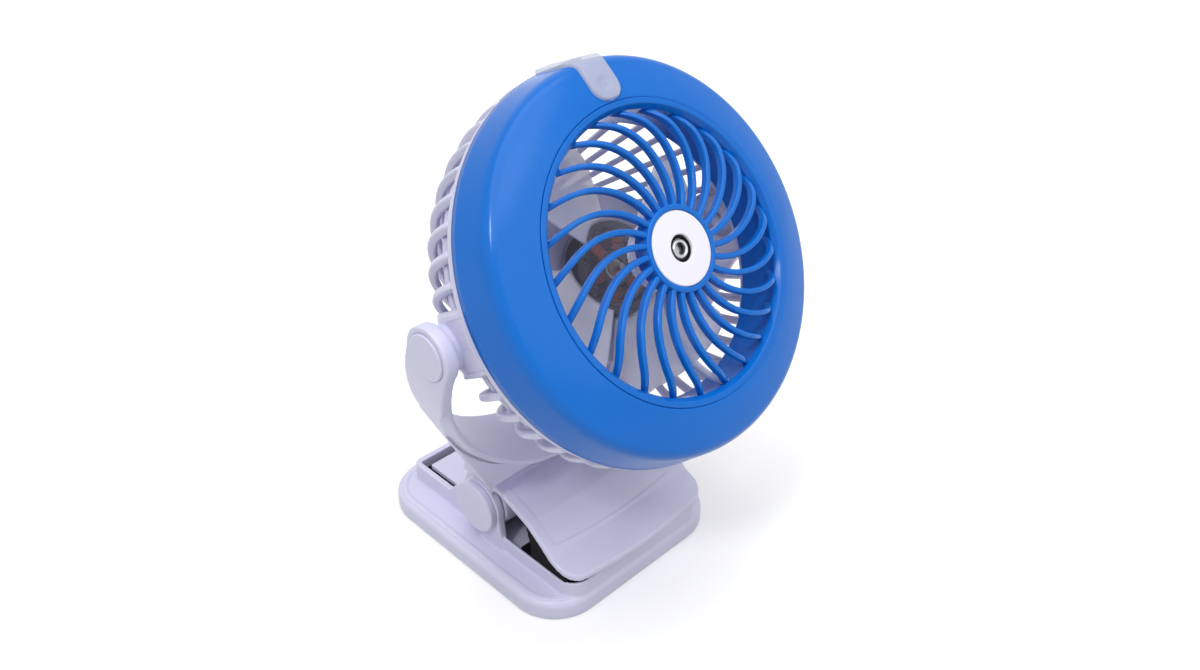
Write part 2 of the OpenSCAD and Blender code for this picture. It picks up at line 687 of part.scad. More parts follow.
// Coil as a stack of round turns, and its two legs
module torsion_spring() color(steel) {
    pitch = 2 * wire_r - 0.1;
    half = pitch * (spring_turns - 1) / 2;
    leg_r = wire_r - 0.1;
    lift = spring_r * sin(45);
    roof_y = crossing(back_top, back_low - back_top, [0, hinge_z + spring_r], [1, 0])[0] - jaw_wall - 2.8;
    floor_l = (hinge_z - lift - deck_z - wire_r) / sin(45) - 0.6;
    turns = [for (i = [0:spring_turns - 1]) i * pitch - half];
    hinge_frame() rotate_extrude() polygon(concat(
        [for (z = turns) each arc([spring_r, z], wire_r, -62, 62, 4)],
        [for (i = [spring_turns - 1:-1:0]) each arc([spring_r, turns[i]], wire_r, 118, 242, 4)]));
    translate([half, hinge_y, hinge_z + spring_r]) rotate([-90, 0, 0])
        cylinder(r = leg_r, h = roof_y - hinge_y, $fn = 32);
    translate([-half, hinge_y - lift, hinge_z - lift]) rotate([-135, 0, 0])
        cylinder(r = leg_r, h = floor_l, $fn = 32);
}

module pivot_cap() yoke_frame() rotate([0, 90, 0]) {
    cap_h = yoke_in + yoke_t + pivot_cap_t - cap_seat_x;
    translate([0, 0, cap_seat_x]) rotate_extrude() polygon(concat([[0, 0], [pivot_cap_r, 0]],
        arc([pivot_cap_r - 0.6, cap_h - 0.6], 0.6, 0, 90, 4), [[0, cap_h]]));
}

module pivot_cap_left() color(white) mirror([1, 0, 0]) pivot_cap();

module pivot_cap_right() color(white) pivot_cap();

// ---- Tank ring and filler plug ----

// Outline of the ring's outside, raised by off, from its rear edge to its inner edge
function ring_outline(off) =
    let (u = unit(side_wall_dir), v = unit(face_dir), a = off * [u[1], -u[0]], b = off * [v[1], -v[0]],
        p = [ring_side_r, ring_side_s] + a, q = [ring_face_r, ring_face_s] + b,
        corner = crossing(p, u, q, v))
    concat([[ring_r, ring_s0] + a], bend(p, corner, q), [[ring_in_r, ring_in_s] + b]);

module at_cage_screws() for (i = [0:cage_screw_n - 1])
    rotate([0, 0, 45 + 360 * i / cage_screw_n]) translate([cage_screw_circle, 0, 0]) children();

// The feed tube's route: straight out of the cup, then the curve of the rib in front of it
module tube_route(r) rotate([0, 0, rib_phase + 360 / rib_n * tube_rib]) translate([0, 0, tube_s]) {
    translate([cup_r - 1.5, 0, 0]) rotate([0, 90, 0]) cylinder(r = r, h = rib_start_r - cup_r + 1.5 + eps);
    translate([rib_start_r, rib_curve_r, 0]) rotate([0, 0, -90])
        rotate_extrude(angle = tube_sweep) translate([rib_curve_r, 0]) circle(r = r, $fn = 32);
}
tube_sweep = 97;

// Section of the ring from its rear edge to its inner edge; the cavity runs out of its back
module tank_shell() color(blue) head_frame() difference() {
    rotate_extrude() polygon(concat(ring_outline(0), [[ring_in_r, ring_s0]]));
    cavity = ring_outline(-tank_wall);
    last = len(cavity) - 1;
    inner_r = ring_in_r + tank_wall;
    rotate_extrude() polygon(concat([[cavity[0][0], ring_s0 - 1]], [for (i = [0:last - 1]) cavity[i]],
        [crossing(cavity[last], face_dir, [inner_r, 0], [0, 1]), [inner_r, ring_s0 - 1]]));
    tube_route(tube_r + 0.1);
    translate([0, 0, fill_s]) rotate([-90, 0, 0]) cylinder(r = fill_r, h = 2 * ring_r);
}

module tank_back() color(blue) head_frame() {
    difference() {
        union() {
            tube(ring_outline(-tank_wall)[0][0] - seat_gap - 0.5, ring_in_r + tank_wall + seat_gap,
                ring_s0 + 0.2, ring_s0 + 0.2 + tank_back_t);
            at_cage_screws() translate([0, 0, ring_s0 + 0.2 + tank_back_t - eps]) cylinder(r = 3.6, h = 10);
        }
        at_cage_screws() translate([0, 0, ring_s0 - 1]) cylinder(r = 1.5, h = 11);
    }
}

// Flexible skin over the ring: its outline raised by lift, clipped to a strip
module ring_skin(lift) intersection() {
    rotate_extrude() polygon(concat([[ring_r + 8, flap_tip_s - 5]], skin_side(lift + plug_t),
        [for (i = [len(ring_outline(0)) - 1:-1:0]) skin_side(lift)[i]]));
    children();
}

// The raised outline, with its rear end drawn on past the ring's rear edge
function skin_side(off) = [for (p = ring_outline(off))
    p == ring_outline(off)[0] ? p - side_wall_dir * (ring_s0 - flap_tip_s + 2) / side_wall_dir[1] : p];

module plug_anchor() color(white) head_frame() {
    ring_skin(0) translate([-tongue_w / 2, 0, fold_s + 0.2]) cube([tongue_w, 2 * ring_r, 20]);
}

module fill_plug() color(white) head_frame() {
    ring_skin(part_gap) rotate([-90, 0, 0]) linear_extrude(2 * ring_r)
        polygon([[-tongue_w / 2, 0.3 - fold_s], [tongue_w / 2, 0.3 - fold_s], [flap_w / 2, 5 - fold_s],
            [flap_w / 2, -flap_tip_s - 3], [flap_w / 2 - 4, -flap_tip_s], [4 - flap_w / 2, -flap_tip_s],
            [-flap_w / 2, -flap_tip_s - 3], [-flap_w / 2, 5 - fold_s]]);
    translate([0, ring_side_r - 2, fill_s]) rotate([-90, 0, 0])
        cylinder(r1 = fill_r - 1.2, r2 = fill_r - 0.45, h = 3.4);
}

// ---- Front grille and mist nozzle ----

// Front of the ribs, from the hub to the barrel, moved back by d
function grille_line(d) = concat([[hub_ring_in + 0.5, grille_s - d]],
    [for (p = arc([grille_flat_r, grille_s - grille_bend_r], grille_bend_r - d, 90, 59, 6)) p]);

module grille_ribs() intersection() {
    rotate_extrude() polygon(concat(grille_line(0), [[barrel_in + 1, barrel_s1 - 1],
        [barrel_in + 1, barrel_s1 - 1 - rib_d]], [for (i = [7:-1:0]) grille_line(rib_d)[i]]));
    for (i = [0:rib_n - 1]) rotate([0, 0, rib_phase + 360 * i / rib_n])
        translate([rib_start_r, rib_curve_r, 0]) rotate([0, 0, -93])
            ring_sector(rib_curve_r - rib_w / 2, rib_curve_r + rib_w / 2, 87, barrel_s1 - 12, grille_s + 1);
}

module front_grille() color(blue) head_frame() {
    hub_front_s = grille_s + 0.5;
    difference() {
        union() {
            grille_ribs();
            tube(barrel_out, barrel_in, tube_s, barrel_s1);
            tube(hub_ring_out, hub_ring_in, hub_front_s - hub_ring_d, hub_front_s);
            tube(hub_ring_in + 0.5, cup_r + seat_gap, cup_lip_s - 2, cup_lip_s);
        }
        tube_route(tube_r + 0.1);
    }
}

// Sleeve of the air barrel, joined to the grille's rim where the feed tube passes
module air_barrel() color(blue) head_frame() difference() {
    tube(barrel_out, barrel_in, barrel_s0, tube_s);
    tube_route(tube_r + 0.1);
}

disc_s1 = grille_s + 0.3;
cup_s1 = disc_s1 - disc_t;
cup_lip_s = cup_s1 - 2;
holder_r = wick_r + 1.7;
holder_s1 = cup_s1 - piezo_t - 0.9;

module nozzle_disc() color("white") head_frame() difference() {
    translate([0, 0, cup_s1]) cylinder(r = disc_r, h = disc_t);
    translate([0, 0, cup_s1 + 0.8]) cylinder(r = disc_hole_r, h = disc_t);
    translate([0, 0, cup_s1 - 1]) cylinder(r = disc_hole_r - 2.3, h = disc_t);
}

module nozzle_ring() color(steel) head_frame()
    tube(disc_hole_r - 0.1, disc_hole_r - 1.8, cup_s1 + 0.8, cup_s1 + 1.6);

module nozzle_gasket() color(black) head_frame()
    tube(disc_hole_r - 0.6, disc_hole_r - 2.5, holder_s1 + piezo_t, cup_s1);

module piezo_disc() color(steel) head_frame()
    translate([0, 0, holder_s1]) cylinder(r = disc_hole_r - 0.9, h = piezo_t);

module mist_cup() color(white) head_frame() difference() {
    floor_s = cup_s1 - cup_d;
    union() {
        tube(cup_r, cup_r - 2, floor_s, cup_s1);
        tube(disc_r - 0.2, cup_r - 0.5, cup_lip_s, cup_s1);
        translate([0, 0, floor_s]) cylinder(r = cup_r - 1, h = 2);
        tube(holder_r, wick_r + 0.2, floor_s + 1, holder_s1);
    }
    tube_route(tube_r);
}

module wick() color("white") head_frame() translate([0, 0, cup_s1 - cup_d + 2])
    cylinder(r = wick_r, h = holder_s1 - cup_s1 + cup_d - 2.1);

module feed_tube() color("white") head_frame() difference() {
    tube_route(tube_r);
    tube_route(tube_bore);
    rotate([0, 0, rib_phase + 360 / rib_n * tube_rib]) translate([0, 0, tube_s]) rotate([0, 90, 0])
        cylinder(r = tube_bore, h = cup_r);
}

// ---- Rear cage and pod ----

cage_back = cage_s0 - cage_len;
function cage_side(z, d) = cage_r * sqrt(1 - pow((cage_s0 - z) / cage_axis, 2)) - d;

// Shell between the cage's outside and d below it, from the rim to the flat back
module cage_band(d, r_back) rotate_extrude() polygon(concat(
    [for (i = [0:10]) let (z = cage_s0 - cage_len * i / 10) [cage_side(z, 0), z]],
    [[r_back, cage_back], [r_back, cage_back + d]],
    [for (i = [9:-1:0]) let (z = cage_s0 - cage_len * i / 10) [cage_side(z, d), z]]));

module cage_ribs() intersection() {
    cage_band(cage_rib_d, pod_r - 0.5);
    for (i = [0:cage_rib_n - 1]) rotate([0, 0, 360 * i / cage_rib_n])
        translate([10, cage_skew - cage_rib_w / 2, cage_back - 1]) cube([cage_r, cage_rib_w, cage_len + 2]);
}

module side_panels() intersection() {
    cage_band(cage_rib_d - 2, cage_r - 30);
    for (turn = [0, 180]) rotate([0, 0, turn - panel_angle])
        ring_sector(cage_r - 30, cage_r + 2, 2 * panel_angle, cage_s0 - 32, cage_s0 + 1);
}

pod_screw_r = 1.3;
pod_post_r = 3.4;
module at_pod_screws() for (a = [90, 210, 330]) rotate([0, 0, a])
    translate([pod_in - pod_post_r - 1.2, 0, 0]) children();

battery_s = pod_front - 4.8 - battery_r;
module battery_space(r, l) translate([0, button_y, battery_s]) rotate([0, 90, 0])
    cylinder(r = r, h = l, center = true);

bush_r = shaft_r + 1.7;
post_out = bush_r + 1.8;
post_s1 = hub_front - 7;

module rear_cage() color(white) head_frame() difference() {
    union() {
        cage_ribs();
        side_panels();
        tube(cage_r, cage_r - cage_rim_t, cage_s0 - 1.8, ring_s0 - 0.2);
        tube(cage_r - 1, ring_in_r + 0.7, cage_s0 - 0.3, ring_s0 - 0.2);
        tube(cage_r - hoop_inset, cage_r - hoop_inset - hoop_t,
            cage_s0 - hoop_gap - hoop_l, cage_s0 - hoop_gap);
        rotate([0, 90, 0]) difference() {
            cylinder(r = boss_r, h = 2 * boss_x, center = true);
            cylinder(r = boss_r + 1, h = 2 * (cage_r - 8), center = true);
        }
        tube(pod_r, pod_in, pod_back, pod_front);
        tube(pod_r - 1, bush_r, pod_front - 2.5, pod_front);
        tube(post_out, bush_r, pod_front - 1, post_s1);
        at_pod_screws() translate([0, 0, pod_back]) cylinder(r = pod_post_r, h = pod_front - pod_back - 1);
        difference() {
            for (x = [-24, 24]) translate([x - 1.5, button_y - battery_r - 2, pod_front - 17])
                cube([3, 2 * battery_r + 4, 16]);
            battery_space(battery_r + 0.1, battery_l);
        }
    }
    at_cage_screws() cylinder(r = 1.7, h = 30);
    at_pod_screws() translate([0, 0, pod_back - 1]) cylinder(r = pod_screw_r, h = 13);
    rotate([0, 90, 0]) cylinder(r = pivot_screw_r, h = 3 * cage_r, center = true);
}

module cage_screws() color(steel) head_frame() at_cage_screws() translate([0, 0, cage_s0 - 0.3])
    screw(1.5, 11, 3, 1.8);

lens_y = button_y + 9;
socket_y = -22;
board_s = pod_back + 8;
board_t = 1.6;
socket_size = [9, 3.3];

module at_buttons() for (x = [-button_x, button_x]) translate([x, button_y, 0]) children();

module at_standoffs() for (x = [-18, 18], y = [-15, 13]) translate([x, y, 0]) children();

module pod_cover() color(white) head_frame() difference() {
    crown_r = (pow(pod_r, 2) + pow(cover_crown - 1.5, 2)) / (2 * (cover_crown - 1.5));
    crown_a = asin(pod_r / crown_r);
    union() {
        rotate_extrude() polygon(concat([[0, pod_back], [pod_r, pod_back]],
            arc([0, pod_back - cover_crown + crown_r], crown_r, crown_a - 90, -90, 10)));
        tube(pod_in - 0.2, pod_in - 1.7, pod_back - eps, pod_back + 2);
        at_standoffs() translate([0, 0, pod_back - eps]) cylinder(r = 2.6, h = board_s - board_t - pod_back);
    }
    at_buttons() translate([0, 0, pod_back - 10]) cylinder(r = button_r + button_gap, h = 20);
    at_pod_screws() {
        translate([0, 0, pod_back - 10]) cylinder(r = pod_screw_r + 0.2, h = 20);
        translate([0, 0, pod_back - 10]) cylinder(r = 2.8, h = 8.6);
        translate([0, 0, pod_back]) cylinder(r = pod_post_r + 0.2, h = 3);
    }
    translate([0, socket_y, pod_back]) cube([socket_size[0] + 0.3, socket_size[1] + 0.3, 20], center = true);
    translate([0, lens_y, pod_back - 10]) cylinder(r = 1.5, h = 20);
}

module pod_screws() color(steel) head_frame() at_pod_screws() translate([0, 0, pod_back - 1.4])
    screw(pod_screw_r, 11, 2.6, 1.2);

module circuit_board() color("seagreen") head_frame() translate([0, -4, board_s - board_t / 2])
    cube([board_w, board_l, board_t], center = true);

switch_h = 2.4;
plunger_h = 0.6;
module tact_switches() color(black) head_frame() at_buttons() {
    translate([0, 0, board_s - board_t - switch_h / 2]) cube([switch_w, switch_w, switch_h], center = true);
    translate([0, 0, board_s - board_t - switch_h - plunger_h]) cylinder(r = 1.7, h = plunger_h + eps);
}

module battery() color("steelblue") head_frame() battery_space(battery_r, battery_l);

module charge_socket() color(steel) head_frame() translate([0, socket_y, board_s - board_t]) difference() {
    l = board_s - board_t - pod_back + cover_crown - 1.2;
    translate([0, 0, -l / 2]) cube([socket_size[0], socket_size[1], l], center = true);
    translate([0, 0, -l]) cube([socket_size[0] - 1, socket_size[1] - 1, 10], center = true);
}

module indicator_lens() color("lime") head_frame() translate([0, lens_y, pod_back - cover_crown])
    cylinder(r = 1.45, h = cover_crown + board_s - board_t - pod_back);

// Push button: its face stands out of the cover, its flange lies behind it
module push_button(x) head_frame() translate([x, button_y, 0]) {
    face_s = pod_back - cover_crown - button_travel - 0.2;
    stem_s = board_s - board_t - switch_h - plunger_h - button_travel - part_gap;
    rotate_extrude() polygon(concat([[0, face_s]], arc([button_r - 0.8, face_s + 0.8], 0.8, 270, 360, 4),
        [[button_r, pod_back + part_gap], [button_r + 1.4, pod_back + part_gap],
        [button_r + 1.4, pod_back + part_gap + 1], [2, pod_back + part_gap + 1], [2, stem_s], [0, stem_s]]));
}

module speed_button() color("white") push_button(-button_x);

module mist_button() color("white") push_button(button_x);

// ---- Pivots ----

module pivot_screws() color(steel) head_frame() both_sides() rotate([0, 90, 0]) {
    translate([0, 0, cage_r - 7]) cylinder(r = pivot_screw_r, h = arm_seat_x - cage_r + 7.2);
    translate([0, 0, arm_seat_x + 0.1]) cylinder(r = pivot_head_r, h = 1.8);
}

module pivot_washers() color(black) head_frame() both_sides() rotate([0, 90, 0])
    tube(boss_r - 1, pivot_screw_r, boss_x, boss_x + 0.4);

// ---- Rotor and motor ----

stator_s0 = 0;
stator_s1 = 8;
module tooth_plan() {
    for (i = [0:5]) rotate([0, 0, 60 * i]) {
        translate([post_out - 1, -1.8]) square([stator_r - post_out - 1, 3.6]);
        intersection() {
            difference() {
                circle(r = stator_r);
                circle(r = stator_r - 2.4);
            }
            translate([0, -6.4]) square([stator_r + 1, 12.8]);
        }
    }
}

module stator_core() color(steel) head_frame() difference() {
    translate([0, 0, stator_s0]) linear_extrude(stator_s1 - stator_s0) {
        tooth_plan();
        circle(r = post_out + 2.5);
    }
    translate([0, 0, stator_s0 - 1]) cylinder(r = post_out, h = stator_s1 + 2);
}

module windings() color([0.72, 0.4, 0.2]) head_frame() for (i = [0:5]) rotate([0, 0, 60 * i]) difference() {
    inner = post_out + 2.6;
    stack = stator_s1 - stator_s0;
    translate([inner, -3.2, stator_s0 - 1.3]) cube([stator_r - 3.1 - inner, 6.4, stack + 2.6]);
    translate([inner - 1, -1.8, stator_s0]) cube([stator_r, 3.6, stack]);
}

module motor_bush() color([0.75, 0.6, 0.35]) head_frame()
    tube(bush_r, shaft_r + run_gap / 2, pod_front - 2.5, post_s1 + 0.5);

module rotor_shaft() color(steel) head_frame() translate([0, 0, pod_front - 3.8])
    cylinder(r = shaft_r, h = hub_front - hub_cap_t - pod_front + 3.8);

module shaft_clip() color(steel) head_frame()
    tube(bush_r - 0.2, shaft_r, pod_front - 3.5, pod_front - 2.8);

module rotor_magnet() color(black) head_frame()
    tube(hub_r - hub_wall, hub_r - hub_wall - magnet_t, stator_s0, stator_s1 + 1);

// One blade: a cambered sheet that rises from its trailing to its leading edge
module blade() intersection() {
    half = blade_r * sin(blade_span / 2);
    rotate([0, 0, -blade_span / 2]) rotate_extrude(angle = blade_span)
        translate([hub_r - 1, -20]) square([blade_r - hub_r + 1, 60]);
    translate([blade_r / 2, 0, 0]) along_x(blade_r + 2) polygon(concat(
        [for (i = [0:12]) let (t = i / 6 - 1) [t * half * 1.02, blade_z(t)]],
        [for (i = [12:-1:0]) let (t = i / 6 - 1) [t * half * 1.02, blade_z(t) + blade_t]]));
}
function blade_z(t) = blade_mid + blade_rise / 2 * t - blade_camber * (t * t - 0.4) * 0.5;

module impeller() color(smoke) head_frame() {
    difference() {
        rotate_extrude() polygon(concat([[0, hub_front], [hub_r - 3, hub_front]],
            arc([hub_r - 3, hub_front - 3], 3, 90, 0, 4), [[hub_r, -1], [hub_r - hub_wall, -1],
            [hub_r - hub_wall, hub_front - hub_wall - 1], [shaft_r + 1.8, hub_front - hub_wall - 1],
            [shaft_r + 1.8, hub_front - 5.5], [0, hub_front - 5.5]]));
        translate([0, 0, hub_front - 6]) cylinder(r = shaft_r, h = 6 - hub_cap_t);
    }
    for (i = [0:blade_n - 1]) rotate([0, 0, blade_phase - blade_span / 2 + 360 * i / blade_n]) blade();
}

base_shell();
base_cover();
base_screws();
rubber_feet();
base_pad();
hinge_cap_left();
hinge_cap_right();
hinge_pin();
upper_jaw();
jaw_liner();
jaw_pad();
torsion_spring();
jaw_screws();
pivot_cap_left();
pivot_cap_right();
tank_shell();
tank_back();
front_grille();
air_barrel();
nozzle_disc();
nozzle_ring();
nozzle_gasket();
piezo_disc();
mist_cup();
wick();
feed_tube();
rear_cage();
cage_screws();
pod_cover();
pod_screws();
stator_core();
windings();
motor_bush();
circuit_board();
tact_switches();
battery();
charge_socket();
indicator_lens();
pivot_screws();
pivot_washers();
plug_anchor();
impeller();
rotor_magnet();
rotor_shaft();
shaft_clip();
fill_plug();
speed_button();
mist_button();
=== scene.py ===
import json
import math

import bmesh
import bpy
from mathutils import Matrix, Vector


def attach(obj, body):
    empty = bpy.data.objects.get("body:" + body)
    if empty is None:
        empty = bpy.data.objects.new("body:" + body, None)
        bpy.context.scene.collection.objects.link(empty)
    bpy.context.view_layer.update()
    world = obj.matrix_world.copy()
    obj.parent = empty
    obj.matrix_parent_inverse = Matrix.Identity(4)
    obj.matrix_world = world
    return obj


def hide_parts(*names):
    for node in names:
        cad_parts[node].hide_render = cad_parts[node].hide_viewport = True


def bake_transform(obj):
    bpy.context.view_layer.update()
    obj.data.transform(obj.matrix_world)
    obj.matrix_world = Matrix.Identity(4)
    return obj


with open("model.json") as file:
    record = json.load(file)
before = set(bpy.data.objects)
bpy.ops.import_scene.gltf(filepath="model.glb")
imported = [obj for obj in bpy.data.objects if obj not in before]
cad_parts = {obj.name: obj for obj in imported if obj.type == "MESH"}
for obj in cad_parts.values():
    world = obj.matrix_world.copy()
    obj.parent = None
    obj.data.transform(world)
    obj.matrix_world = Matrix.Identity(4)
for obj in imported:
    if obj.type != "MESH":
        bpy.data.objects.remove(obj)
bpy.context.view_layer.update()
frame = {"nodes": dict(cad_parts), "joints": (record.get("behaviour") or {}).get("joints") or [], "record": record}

# -------------------- sizes: millimetres, and degrees for angles
# In the head, r is the distance from its axis and s the distance forward along it from the pivots.
MM = 0.001
WHOLE_TURN = 2 * math.pi

# Tank ring: (r, s) points of its outside, from the rear edge to the grille's opening
RING_R, RING_S0 = 84.0, 20.7            # rear edge
RING_SIDE = (81.3, 35.5)                # front end of the side wall
RING_FACE = (76.5, 41.4)                # outer edge of the front face
RING_IN = (61.3, 45.4)                  # inner edge of the front face
RING_CROWN = 0.35                       # how far the front face bulges
TANK_WALL = 2.2
FILL_S, FILL_R = 29.0, 6.3              # filler hole

# Front grille, its barrel and the nozzle
RIB_N, RIB_PHASE = 25, 13.99            # number of ribs, and the first one's angle
RIB_START_R, RIB_CURVE_R = 16.6, 33.7   # where a rib starts, and the radius of its arc
RIB_TURN = (-92.5, -5.0)                # the arc's first and last angle
RIB_W, RIB_D = 2.5, 3.4
RIB_TAPER, RIB_TAPER_R = 0.35, (24, 50) # width that a rib loses, and between which radii
RIB_DIP, RIB_DIP_R = 0.07, 50.0         # how sharply the ribs' ends bow into the barrel, and from where
GRILLE_S, GRILLE_FLAT_R, GRILLE_BEND_R = 50.7, 40.5, 34.0
BARREL_IN, BARREL_OUT, BARREL_S0, BARREL_S1 = 57.2, 61.27, 24.0, 45.6
HUB_RING_IN, HUB_RING_OUT, HUB_RING_D = 15.2, 17.4, 8.0
SEAT_IN, SEAT_S0, SEAT_S1 = 14.2, 44.6, 46.6
NOZZLE_R, NOZZLE_T, NOZZLE_HOLE_R, NOZZLE_BORE_R = 15.0, 2.4, 5.5, 3.2

# Rear cage, its side panels and pivot bosses, and the pod in its middle
CAGE_R, CAGE_BACK_R, CAGE_LEN, CAGE_S0 = 83.6, 52.7, 52.0, 18.0
CAGE_FULLNESS = 2.6                     # a higher power keeps the side straight for longer
CAGE_RIBS, CAGE_SKEW = 46, 34.0         # number of ribs, and how far from the axis each one's line passes
CAGE_RIB_W, CAGE_RIB_D = (3.2, 2.3), (4.0, 3.2)     # at the rim, and at the pod
CAGE_RIM_W, HOOP_W, HOOP_S = 4.2, 2.8, (13, 9.8)    # HOOP_S: the hoop's two faces, behind CAGE_S0
PANEL_HALF_ANGLE, PANEL_LEN, PANEL_PROUD, PANEL_IN = 9.0, 32, 0.15, 3.6
BOSS_R, BOSS_HOLE_R, BOSS_X0, BOSS_X = 9.5, 2.05, 74, 85.9
POD_R, POD_WALL, POD_FRONT, POD_BACK, POD_FACE_T = 38.5, 2.3, -3.5, -38.0, 2.5
BUSH_TUBE_R, BUSH_R = 5.0, 3.2
BUTTON_X, BUTTON_Y, BUTTON_R, BUTTON_OUT = 11, 4, 5.5, 5.2

# Impeller and the coils behind its hub
BLADES, BLADE_R, BLADE_SPAN, BLADE_PHASE, BLADE_T = 4, 54.0, 66.0, 46.0, 1.5
BLADE_RISE, BLADE_CAMBER, BLADE_MID = 26.0, 5.0, 8.0
BLADE_CORNER, BLADE_EDGE = 9.0, 2.2     # radius of a tip's corners, and width over which an edge thins
HUB_R, HUB_FRONT, HUB_WALL, SHAFT_R = 21.5, 14.0, 1.5, 1.5
TEETH, COIL_TURNS, COIL_IN, COIL_WIRE_R = 6, 8, 7.8, 0.42

# Clip foot: its deck, the bead round it, the rear well with a black sheet that paints its shade, and the ears
BASE_HALF_W, BASE_HALF_L, BASE_CORNER, DECK_Z = 58.3, 67.2, 24.0, 10.5
BEAD_IN, BEAD_W, BEAD_H, BEAD_ROOT = 3.9, 3.2, 0.5, 0.6
WELL_SIDE, WELL_REAR, WELL_R, WELL_TOP = 42.6, 57.6, 4.0, 20.5
# painted shade: a black sheet in the rear well, where there is only shade
SHADE_SHEET_SIDE, SHADE_SHEET_FRONT, SHADE_SHEET_REAR, SHADE_SHEET_T = 39.3, 15.4, 54.3, 0.6
SHADE_SHEET_FLOOR, SHADE_SHEET_TOP = (2.25, 2.7), 15.0
EAR_R, EAR_BACK = 13.3, 29
HINGE_CAP_R, HINGE_CAP_X, HINGE_CAP_T = 13.4, 46.0, 4.0
PIVOT_CAP_R, PIVOT_CAP_X, PIVOT_CAP_T = 9.7, 92.0, 1.8

# Jaw: its sheet's underside as (distance behind the lip, height), the panel sunk into its top, and its tail
JAW_CURVE = [(0, 20.5), (9, 24), (17.5, 27.3), (24.5, 33.1), (33, 39.3), (41.8, 42.8), (50.6, 46.3)]
LIP_Y, JAW_T = -69.8, 3.2
ROOF_HALF_W, JAW_SCREW_X = 38.3, 24
PANEL_HALF, PANEL_DEPTH, PANEL_FRONT, PANEL_BOW, PANEL_Y = 41.2, 0.5, -52.6, 2.2, (-56, -17)
TAIL_HALF, TAIL_GROW, TAIL_Y, TAIL_TOP = 37.0, 1.1, 23, 21

# Yoke, measured in its own leaning frame: height up from the pivots, depth back from them
YOKE_LEAN, YOKE_DROP, YOKE_OUT, YOKE_EDGE = 20, 3.0, 93.0, 89.8
YOKE_FRONT = [(20, -12.1), (30, -12.0), (67.4, -18.0), (85, -23.0), (97, -23.0)]    # (-height, depth)
BEVEL_TOP, BEVEL_LOW, BEVEL_SLOPE = -20, -108, 1.5
NECK_FRONT, NECK_RISE, NECK_TOP = -12.0, 4.8, -48

# Filler plug: its tongue, flap and dimple, and the clamp's spring
TONGUE_W, FLAP_W, PLUG_T, FLAP_TIP_S, FLAP_CORNER = 14.5, 20.5, 1.4, 17.4, 4.5
DIMPLE_R, DIMPLE_D, DIMPLE_AT = 3.6, 0.8, 69.0
SPRING_R, SPRING_WIRE_R, SPRING_TURNS, SPRING_PITCH = 5.8, 0.75, 14, 1.55

# Camera: its place, the degrees it is turned round and raised, and its lens
CAMERA_AT, CAMERA_TURN, CAMERA_RISE, CAMERA_LENS = (-281.50, -323.58, 381.43), 44.627, 32.745, 32.47

# -------------------- frames
joints = {j["name"]: j for j in frame["joints"]}
PIVOT = Vector(joints["head_tilt"]["pos_m"])
HINGE = Vector(joints["jaw_hinge"]["pos_m"])
X_DIR = Vector((1, 0, 0))
HEAD_FORWARD = Vector(joints["impeller_spin"]["axis"])
HEAD_UP = HEAD_FORWARD.cross(X_DIR)
SIDES = ((-1, "left"), (1, "right"))


def frame_matrix(origin, x, y, z):
    """A frame from its origin and its three axes."""
    m = Matrix((x, y, z)).transposed().to_4x4()
    m.translation = origin
    return m


HEAD = frame_matrix(PIVOT, X_DIR, HEAD_UP, HEAD_FORWARD)
# z runs out through the filler hole
FILL_HOLE = HEAD @ Matrix.Translation((0, 0, FILL_S * MM)) @ Matrix.Rotation(-math.pi / 2, 4, "X")


def axle(side, origin):
    """A frame whose z runs out along the part's x, for the pieces at an axle's end."""
    z = X_DIR * side
    y = Vector((0, 0, 1))
    return frame_matrix(origin, y.cross(z), y, z)


# -------------------- materials
# The colour sockets of a Mix node, whose names its other types share
MIX_A, MIX_B, MIX_RESULT = 6, 7, 2


def srgb(r, g, b):
    """A colour written as 0-255 screen values, as the linear colour that shaders take."""
    def linear(v):
        v /= 255
        return v / 12.92 if v <= 0.04045 else ((v + 0.055) / 1.055) ** 2.4
    return (linear(r), linear(g), linear(b), 1.0)


def shade(colour, k):
    """The colour made k times as bright."""
    return (colour[0] * k, colour[1] * k, colour[2] * k, 1.0)


def nodes_of(name):
    """A new material, its node tree and its shader."""
    mat = bpy.data.materials.new(name)
    mat.use_nodes = True
    tree = mat.node_tree
    return mat, tree, tree.nodes["Principled BSDF"]


def settle(node, values):
    """Sets a node's inputs, by their names."""
    for name, value in values.items():
        node.inputs[name].default_value = value


def noise(tree, scale, detail=4.0, rough=0.55):
    """The value of a noise texture that lies still on the object."""
    coords = tree.nodes.new("ShaderNodeTexCoord")
    node = tree.nodes.new("ShaderNodeTexNoise")
    settle(node, {"Scale": scale, "Detail": detail, "Roughness": rough})
    tree.links.new(coords.outputs["Object"], node.inputs["Vector"])
    return node.outputs["Fac"]


def ramp(tree, source, low, high, a, b):
    """A colour that runs from low to high between the source's values a and b."""
    node = tree.nodes.new("ShaderNodeValToRGB")
    node.color_ramp.elements[0].position, node.color_ramp.elements[1].position = a, b
    node.color_ramp.elements[0].color, node.color_ramp.elements[1].color = low, high
    tree.links.new(source, node.inputs["Fac"])
    return node.outputs["Color"]


def bump(tree, bsdf, layers):
    """Stacks bump layers (height output, strength, distance) on the shader's normal."""
    previous = None
    for height, strength, distance in layers:
        node = tree.nodes.new("ShaderNodeBump")
        settle(node, {"Strength": strength, "Distance": distance})
        tree.links.new(height, node.inputs["Height"])
        if previous:
            tree.links.new(previous.outputs["Normal"], node.inputs["Normal"])
        previous = node
    tree.links.new(previous.outputs["Normal"], bsdf.inputs["Normal"])


def mapped(tree, source, low, high):
    """A number that runs from low to high as the source runs from 0 to 1."""
    node = tree.nodes.new("ShaderNodeMapRange")
    settle(node, {"To Min": low, "To Max": high})
    tree.links.new(source, node.inputs["Value"])
    return node.outputs["Result"]


